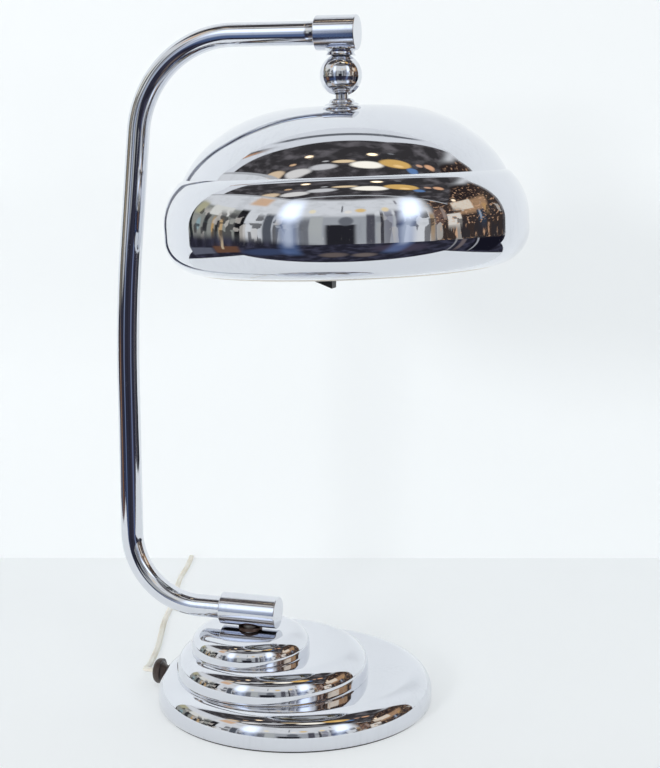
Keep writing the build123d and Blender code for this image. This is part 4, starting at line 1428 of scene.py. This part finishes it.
# On the walls and the floor, by the ray's turn to the right and its rise, in degrees
WALL_THINGS = (
    Thing("lower wall", -10.0, 7.0, 42.0, 13.0, (0.40, 0.42, 0.44), soft=0.25),
    Thing("left side wall", -94.0, 8.0, 26.0, 17.0, (0.30, 0.31, 0.28), soft=0.1),
    Thing("right side wall", 84.0, 18.0, 30.0, 25.0, (0.05, 0.036, 0.032), soft=0.12),
    Thing("amber shelf", 88.0, 20.0, 16.0, 8.0, (0.42, 0.26, 0.15), soft=0.3),
    Thing("dark beam", 90.0, 39.0, 17.0, 10.0, (0.03, 0.022, 0.022), ROUND, 0.3),
    Thing("left shelf of lamps", -64.0, 39.0, 7.0, 5.5, (0.74, 0.50, 0.33), soft=0.35),
    Thing("left shade", -88.0, 21.0, 9.5, 5.5, (0.80, 0.80, 0.74), soft=0.12),
    Thing("far left shade", -108.0, 20.0, 4.0, 6.0, (0.48, 0.46, 0.30), soft=0.4),
    Thing("left stem", -90.0, 4.0, 1.1, 9.0, (0.55, 0.36, 0.16), soft=0.4),
    Thing("left stem", -83.0, 3.0, 1.5, 9.0, (0.60, 0.42, 0.22), soft=0.4),
    Thing("dark gap", -86.5, 3.0, 1.3, 8.0, (0.03, 0.03, 0.03), soft=0.4),
    Thing("dark gap", -97.0, 5.0, 2.0, 9.0, (0.05, 0.06, 0.06), soft=0.4),
    Thing("glass jar", -104.0, 4.0, 2.2, 6.0, (0.30, 0.42, 0.44), ROUND, 0.4),
    Thing("window frame", -113.0, 8.0, 1.6, 20.0, (0.02, 0.025, 0.025), soft=0.3, lean=-0.2),
    Thing("black stand", -69.0, 10.0, 3.2, 16.0, (0.012, 0.012, 0.014), soft=0.15),
    Thing("door post", -49.0, 7.0, 3.4, 15.0, (0.10, 0.11, 0.13), soft=0.25),
    Thing("door edge", -46.0, 8.0, 0.7, 12.0, (0.50, 0.52, 0.55), soft=0.4),
    Thing("cupboard", -26.0, 4.0, 3.0, 11.0, (0.20, 0.21, 0.23), soft=0.3),
    Thing("cupboard door", -19.0, 8.0, 4.0, 12.0, (0.48, 0.50, 0.49), soft=0.2),
    Thing("low chest", -4.0, 0.0, 9.0, 6.5, (0.022, 0.022, 0.028), soft=0.2),
    Thing("mirror on the chest", -1.0, 12.0, 4.5, 7.0, (0.16, 0.17, 0.19), ROUND, 0.25),
    Thing("doorway", 14.0, 8.0, 2.6, 14.0, (0.09, 0.09, 0.11), soft=0.25),
    Thing("doorway post", 21.0, 9.0, 1.0, 16.0, (0.06, 0.06, 0.07), soft=0.3),
    Thing("curtain", 25.0, 12.0, 2.6, 15.0, (0.36, 0.37, 0.42), soft=0.3),
    Thing("door leaf", 32.0, 14.0, 2.6, 12.0, (0.14, 0.14, 0.17), soft=0.25),
    Thing("small shade", -23.0, 28.0, 2.2, 3.0, (0.95, 0.86, 0.62), ROUND, 0.4),
    Thing("small shade", 0.0, 27.0, 2.4, 2.6, (0.92, 0.88, 0.80), ROUND, 0.4),
    Thing("small shade", 8.0, 29.0, 3.4, 3.0, (0.85, 0.60, 0.26), ROUND, 0.4),
    Thing("small shade", 24.0, 29.0, 2.4, 3.4, (0.92, 0.76, 0.48), ROUND, 0.4),
    Thing("pendant", -4.0, 32.0, 0.5, 5.0, (0.10, 0.10, 0.11), soft=0.5),
    Thing("pendant", 33.0, 39.0, 0.8, 3.0, (0.30, 0.30, 0.32), soft=0.5),
    Thing("tall clock", 53.0, 7.0, 1.6, 11.0, (0.42, 0.30, 0.18), soft=0.4),
    Thing("clutter", 58.0, 12.0, 3.0, 10.0, (0.16, 0.10, 0.08), soft=0.3),
    Thing("clutter", 62.0, 16.0, 1.2, 8.0, (0.34, 0.26, 0.22), soft=0.4),
    Thing("warm lamp", 61.0, 37.0, 2.4, 3.6, (0.86, 0.55, 0.32), ROUND, 0.4),
    Thing("warm lamp", 68.0, 34.0, 2.8, 3.2, (0.92, 0.62, 0.40), ROUND, 0.4),
    Thing("warm lamp", 75.0, 41.0, 4.0, 3.4, (0.80, 0.44, 0.24), ROUND, 0.4),
    Thing("warm lamp", 76.0, 31.0, 1.6, 1.8, (1.50, 1.20, 0.85), ROUND, 0.4),
    Thing("warm lamp", 64.0, 46.0, 2.6, 2.4, (0.90, 0.62, 0.40), ROUND, 0.4),
    Thing("upper right shade", 79.0, 23.0, 8.5, 5.5, (0.84, 0.74, 0.60), soft=0.1, lean=0.15),
    Thing("lower right shade", 69.0, 7.0, 5.2, 7.2, (0.82, 0.77, 0.68), soft=0.1),
    Thing("vase", 91.0, 7.0, 3.6, 7.5, (0.04, 0.055, 0.08), soft=0.2),
    Thing("vase light", 90.0, 9.0, 0.9, 5.0, (0.32, 0.40, 0.50), soft=0.5),
    Thing("amber glass", 97.0, 14.0, 2.0, 6.0, (0.52, 0.32, 0.14), soft=0.4),
    Thing("dark figurine stand", 105.0, 20.0, 3.0, 9.0, (0.05, 0.04, 0.035), soft=0.4, lean=0.3),
)
FLOOR_THINGS = (
    Thing("brown bench", -80.0, -14.0, 10.0, 7.0, (0.16, 0.08, 0.05), soft=0.2),
    Thing("pale bench", -103.0, -16.0, 12.0, 6.0, (0.13, 0.14, 0.18), soft=0.2),
    Thing("bench foot", -82.0, -9.0, 1.0, 4.0, (0.60, 0.48, 0.32), soft=0.4),
    Thing("rug", -52.0, -22.0, 16.0, 9.0, (0.05, 0.07, 0.14), ROUND, 0.4),
    Thing("rug", 34.0, -20.0, 17.0, 11.0, (0.07, 0.06, 0.09), ROUND, 0.4),
    Thing("rack", 70.0, -16.0, 0.7, 14.0, (0.30, 0.30, 0.31), soft=0.5),
    Thing("rack", 76.0, -16.0, 1.8, 12.0, (0.17, 0.14, 0.14), soft=0.5),
    Thing("cabinet", 99.0, -16.0, 14.0, 14.0, (0.010, 0.010, 0.018), soft=0.08),
    Thing("cabinet rail", 88.5, -16.0, 0.8, 14.0, (0.40, 0.41, 0.43), soft=0.4, lean=-0.1),
    Thing("cabinet top", 96.0, -1.5, 12.0, 0.7, (0.36, 0.37, 0.39), soft=0.4),
    Thing("low things", -8.0, -36.0, 9.0, 7.0, (0.15, 0.12, 0.11), ROUND, 0.4),
    Thing("low things", 13.0, -38.0, 8.0, 6.0, (0.17, 0.14, 0.13), ROUND, 0.4),
)
# On the ceiling, by its own plan: to the right, and towards the room, in heights of the ceiling
CEILING_THINGS = (
    Thing("panel", -0.84, 0.34, 0.16, 0.09, (0.80, 0.62, 0.42), ROUND, 0.2),
    Thing("panel", -0.55, 0.46, 0.17, 0.09, (0.82, 0.80, 0.76), ROUND, 0.2),
    Thing("panel", -0.25, 0.42, 0.14, 0.07, (0.68, 0.68, 0.68), ROUND, 0.25),
    Thing("panel", -0.04, 0.32, 0.10, 0.035, (0.95, 0.74, 0.46), ROUND, 0.25),
    Thing("panel", 0.18, 0.40, 0.16, 0.085, (1.25, 1.18, 1.02), ROUND, 0.2),
    Thing("panel", 0.46, 0.30, 0.18, 0.095, (0.80, 0.50, 0.16), ROUND, 0.15),
    Thing("panel's middle", 0.50, 0.34, 0.06, 0.03, (1.10, 0.74, 0.32), ROUND, 0.4),
    Thing("blue panel", 0.70, 0.36, 0.08, 0.05, (0.14, 0.26, 0.50), ROUND, 0.3),
    Thing("warm panel", 0.86, 0.14, 0.09, 0.05, (0.85, 0.48, 0.28), ROUND, 0.3),
    Thing("warm panel", 0.72, 0.20, 0.05, 0.03, (0.70, 0.42, 0.28), ROUND, 0.3),
    Thing("warm panel", -0.52, 0.24, 0.04, 0.025, (0.75, 0.50, 0.30), ROUND, 0.3),
    Thing("bright lamp", -0.32, 0.13, 0.035, 0.025, (2.6, 2.0, 1.3), ROUND, 0.45),
    Thing("bright lamp", 0.19, 0.15, 0.04, 0.028, (2.8, 2.2, 1.4), ROUND, 0.45),
    Thing("small lamp", -0.20, 0.29, 0.03, 0.014, (0.60, 0.60, 0.60), ROUND, 0.4),
    Thing("small lamp", 0.34, 0.09, 0.03, 0.012, (0.28, 0.29, 0.30), ROUND, 0.4),
    Thing("beam", -1.10, -0.63, 0.09, 0.28, (0.05, 0.045, 0.045), soft=0.3, lean=1.67),
    Thing("light on the beam", -1.02, -0.56, 0.045, 0.20, (0.62, 0.34, 0.20), soft=0.4, lean=1.67),
)


class Rays:
    """The direction of a ray, read in the ways that the room is painted by."""

    def __init__(self, graph: Graph) -> None:
        """Reads its turn and rise in degrees, and where it meets a ceiling of height 1."""
        self.graph = graph
        ray = graph.node("ShaderNodeTexCoord").outputs["Generated"]
        right, front = graph.along(ray, VIEW_RIGHT), graph.along(ray, -VIEW_AWAY)
        self.up = graph.along(ray, UP)
        self.turn = graph.maths("ARCTAN2", right, front) * DEGREES_PER_RADIAN
        self.rise = graph.maths("ARCSINE", self.up) * DEGREES_PER_RADIAN
        over = graph.maths("MAXIMUM", self.up, 0.02)
        self.plan_x, self.plan_y = right / over, front / over

    def joined(self, across: Reading, up: Reading) -> bpy.types.NodeSocket:
        """Two numbers as one point."""
        return self.graph.node("ShaderNodeCombineXYZ", {}, {0: across, 1: up}).outputs[0]

    def clouds(self, scale: float, across: Reading, up: Reading) -> Reading:
        """Noise over two numbers."""
        return self.graph.noise(scale, 3.0, self.joined(across, up))


@dataclass
class Showroom:
    """The room in front of the lamp, which only its mirrors see, and the soft light on the lamp."""

    background: Colour = (0.92, 0.945, 0.96)
    fill: float = 0.55
    pale: Colour = (0.80, 0.83, 0.86)
    far_wall: Colour = (0.78, 0.80, 0.81)
    dark_goods: Colour = (0.035, 0.032, 0.036)
    pale_goods: Colour = (0.62, 0.58, 0.52)
    glints: Colour = (0.78, 0.47, 0.28)
    sparks: Colour = (0.85, 0.80, 0.72)
    floor: Colour = (0.022, 0.022, 0.034)
    ceiling: Colour = (0.044, 0.041, 0.043)
    arch: Colour = (0.05, 0.055, 0.07)
    ledge: Colour = (0.50, 0.51, 0.52)
    shine: Colour = (1.35, 1.50, 1.75)
    mist: Colour = (0.80, 0.88, 1.0)
    streak: Colour = (0.16, 0.26, 0.52)
    glows: tuple[Place, ...] = ((-37.0, -0.05), (40.0, 0.2))

    @staticmethod
    def paint(
        graph: Graph, colour: object, things: tuple[Thing, ...], across: Reading, up: Reading
    ) -> bpy.types.NodeSocket:
        """Paints things over a colour, the first one lowest.

        Args:
            graph: The world's graph.
            colour: The colour beneath them.
            things: The things.
            across: The ray's place from left to right.
            up: The ray's place upwards.

        Returns:
            The colour with the things on it.
        """
        for thing in things:
            colour = graph.mix(thing.cover(across, up), colour, thing.colour)
        return colour

    def walls(self, graph: Graph, rays: Rays) -> bpy.types.NodeSocket:
        """Paints the walls and what stands before them.

        Args:
            graph: The world's graph.
            rays: The ray's readings.

        Returns:
            Their colour.
        """
        turn, rise = rays.turn, rays.rise
        mottle = rays.clouds(0.11, turn, rise * 1.5).rise(0.45, 0.70)
        colour = graph.mix(mottle, self.far_wall, tuple(c * 0.86 for c in self.far_wall))
        colour = self.paint(graph, colour, WALL_THINGS, turn, rise)
        # Goods stand in blocks, low down and off the middle
        blocks = graph.node(
            "ShaderNodeTexVoronoi", {"distance": "CHEBYCHEV"},
            {"Vector": rays.joined(turn * 0.24, rise * 0.13), "Scale": 1.0},
        )
        parts = graph.node("ShaderNodeSeparateColor", {}, {0: blocks.outputs["Color"]})
        heap = Reading(graph, parts.outputs[0])
        low = rise.rise(25.0, 16.0)
        goods = low * (turn + 5.0).size().rise(14.0, 44.0)
        colour = graph.mix(heap.rise(0.60, 0.66) * goods * 0.75, colour, self.dark_goods)
        colour = graph.mix(heap.rise(0.10, 0.06) * goods * 0.7, colour, self.pale_goods)
        # Glints on the right, and small sparks all along
        right_side = (turn - 82.0).size().rise(32.0, 26.0) * rise.rise(46.0, 40.0)
        glints = rays.clouds(0.45, turn, rise).rise(0.56, 0.66) * right_side
        colour = graph.mix(glints * 0.8, colour, self.glints)
        sparks = rays.clouds(0.80, turn, rise).rise(0.68, 0.74)
        return graph.mix(sparks * low * 0.6, colour, self.sparks)

    def ground(self, graph: Graph, rays: Rays) -> bpy.types.NodeSocket:
        """Paints the floor.

        Args:
            graph: The world's graph.
            rays: The ray's readings.

        Returns:
            Its colour.
        """
        worn = rays.clouds(0.14, rays.turn, rays.rise).rise(0.40, 0.70)
        soil = graph.mix(worn, self.floor, tuple(c * 2.6 for c in self.floor))
        return self.paint(graph, soil, FLOOR_THINGS, rays.turn, rays.rise)

    def roof(self, graph: Graph, rays: Rays) -> tuple[bpy.types.NodeSocket, Reading]:
        """Paints the ceiling, with its pale hem behind the lamp and a ledge along its front.

        Args:
            graph: The world's graph.
            rays: The ray's readings.

        Returns:
            Its colour, and 1 where the ray meets it.
        """
        plan_x, plan_y = rays.plan_x, rays.plan_y
        worn = rays.clouds(5.0, plan_x, plan_y).rise(0.45, 0.72)
        colour = graph.mix(worn, self.ceiling, tuple(c * 3.8 for c in self.ceiling))
        bent_left = graph.maths("MAXIMUM", plan_x * -1.0 - 0.4, 0.0) * 0.2
        bent_right = graph.maths("MAXIMUM", plan_x - 0.25, 0.0) * 0.47
        hem = (plan_y + bent_left + bent_right).rise(-0.175, -0.19)
        colour = graph.mix(hem, colour, self.pale)
        bow = (plan_y + 0.33 + plan_x * plan_x * 0.45).size().rise(0.032, 0.02)
        colour = graph.mix(bow * plan_x.size().rise(0.55, 0.38) * 0.85, colour, self.arch)
        colour = self.paint(graph, colour, CEILING_THINGS, plan_x, plan_y)
        aslant = (plan_y * 0.5 - plan_x * 0.866) * 1.015
        facing = graph.maths("MAXIMUM", plan_y * 1.376, aslant)
        colour = graph.mix(facing.band(0.93, 0.99, 0.012), colour, self.ledge)
        met = facing.rise(1.0, 0.985) * (plan_x - plan_y * 1.2).rise(1.0, 0.9)
        met = graph.maths("MAXIMUM", met, rays.rise.rise(44.0, 50.0))
        return colour, met * rays.up.rise(0.02, 0.06)

    def room(self, graph: Graph) -> bpy.types.NodeSocket:
        """Paints the room as seen from the lamp, direction by direction.

        Args:
            graph: The world's graph.

        Returns:
            The room's colour.
        """
        rays = Rays(graph)
        turn, rise = rays.turn, rays.rise
        colour = graph.mix(rise.rise(-4.2, -5.6), self.walls(graph, rays), self.ground(graph, rays))
        roof, met = self.roof(graph, rays)
        colour = graph.mix(met, colour, roof)
        for side, sway in self.glows:
            across = (turn - side - (rise - 22.0) * sway).size()
            tail = across.rise(9.0, 2.0) * rise.band(-32.0, 20.0, 7.0)
            colour = graph.mix(tail * 0.45, colour, self.streak)
            mist = across.rise(5.0, 0.5) * rise.band(-8.0, 20.0, 9.0)
            colour = graph.mix(mist * 0.45, colour, self.mist)
            halo = across.rise(11.0, 2.0) * rise.band(14.0, 42.0, 9.0)
            colour = graph.mix(halo, colour, self.shine)
        return colour

    def build(self) -> None:
        """Builds the world: pale to the camera, the room to mirrors, plain light to the rest."""
        world = bpy.data.worlds.new("showroom")
        bpy.context.scene.world = world
        world.use_nodes = True
        graph = Graph(world.node_tree)
        path = graph.node("ShaderNodeLightPath")
        camera = Reading(graph, path.outputs["Is Camera Ray"])
        glossy = Reading(graph, path.outputs["Is Glossy Ray"])
        through = Reading(graph, path.outputs["Is Transmission Ray"])
        grey = (self.fill, self.fill, self.fill, 1.0)
        fill, room, pale = (
            graph.node("ShaderNodeBackground", {}, {"Color": colour, "Strength": 1.0}).outputs[0]
            for colour in (grey, self.room(graph), (*self.background, 1.0))
        )
        mirror = graph.maths("MAXIMUM", glossy, through)
        shader = graph.node("ShaderNodeMixShader", {}, {0: mirror, 1: fill, 2: room}).outputs[0]
        shader = graph.node("ShaderNodeMixShader", {}, {0: camera, 1: shader, 2: pale}).outputs[0]
        graph.surface(shader, "ShaderNodeOutputWorld")
        LOG.info("world: room for mirrors, fill of %.2f", self.fill)


@dataclass
class SoftLamp:
    """A soft studio lamp, which mirrors don't show because the room has it painted in."""

    name: str
    turn: float
    rise: float
    power: float
    distance: float = 1.9
    size: float = 0.35
    colour: Colour = (1.0, 0.99, 0.97)
    aim: Colour = (0.0, 0.0, 0.25)

    def build(self) -> None:
        """Hangs the lamp, facing the middle of the desk lamp."""
        turn, rise = math.radians(self.turn), math.radians(self.rise)
        level = (-VIEW_AWAY * math.cos(turn) + VIEW_RIGHT * math.sin(turn)) * math.cos(rise)
        away = level + UP * math.sin(rise)
        data = bpy.data.lights.new(self.name, "AREA")
        data.shape = "DISK"
        data.size = self.size
        data.energy = self.power
        data.color = self.colour
        lamp = bpy.data.objects.new(self.name, data)
        lamp.location = Vector(self.aim) + away * self.distance
        lamp.rotation_euler = (-away).to_track_quat("-Z", "Y").to_euler()
        lamp.visible_glossy = False
        bpy.context.scene.collection.objects.link(lamp)
        LOG.info("%s: %.1f W", self.name, self.power)


@dataclass
class Viewpoint:
    """The camera at the photograph's place."""

    location: tuple[float, float, float] = (0.265, -0.839, 0.357)
    pitch: float = 80.24
    turn: float = 16.07
    lens: float = 67.03

    def build(self) -> None:
        """Sets up the camera and the plain view transform."""
        data = bpy.data.cameras.new("viewpoint")
        data.lens = self.lens
        data.sensor_width = 36.0
        camera = bpy.data.objects.new("viewpoint", data)
        camera.location = self.location
        camera.rotation_euler = (math.radians(self.pitch), 0.0, math.radians(self.turn))
        bpy.context.scene.collection.objects.link(camera)
        bpy.context.scene.camera = camera
        bpy.context.scene.view_settings.view_transform = "Standard"
        LOG.info("viewpoint: lens %.2f", self.lens)


def main() -> None:
    """Builds the lamp piece by piece, then its surroundings."""
    logging.basicConfig(level=logging.INFO, format="%(name)s: %(message)s")
    Viewpoint().build()
    for assembly in (Lead(), SteppedBase(), BentArm(), BallJoint(), SpunShade(), LampCluster()):
        LOG.info("%s", type(assembly).__name__)
        assembly.build()
    Corner().build()
    Showroom().build()
    SoftLamp("left_lamp", -30.0, 14.0, 15.5).build()
    SoftLamp("right_lamp", 33.0, 10.0, 5.8).build()


if __name__ == "__main__":
    main()
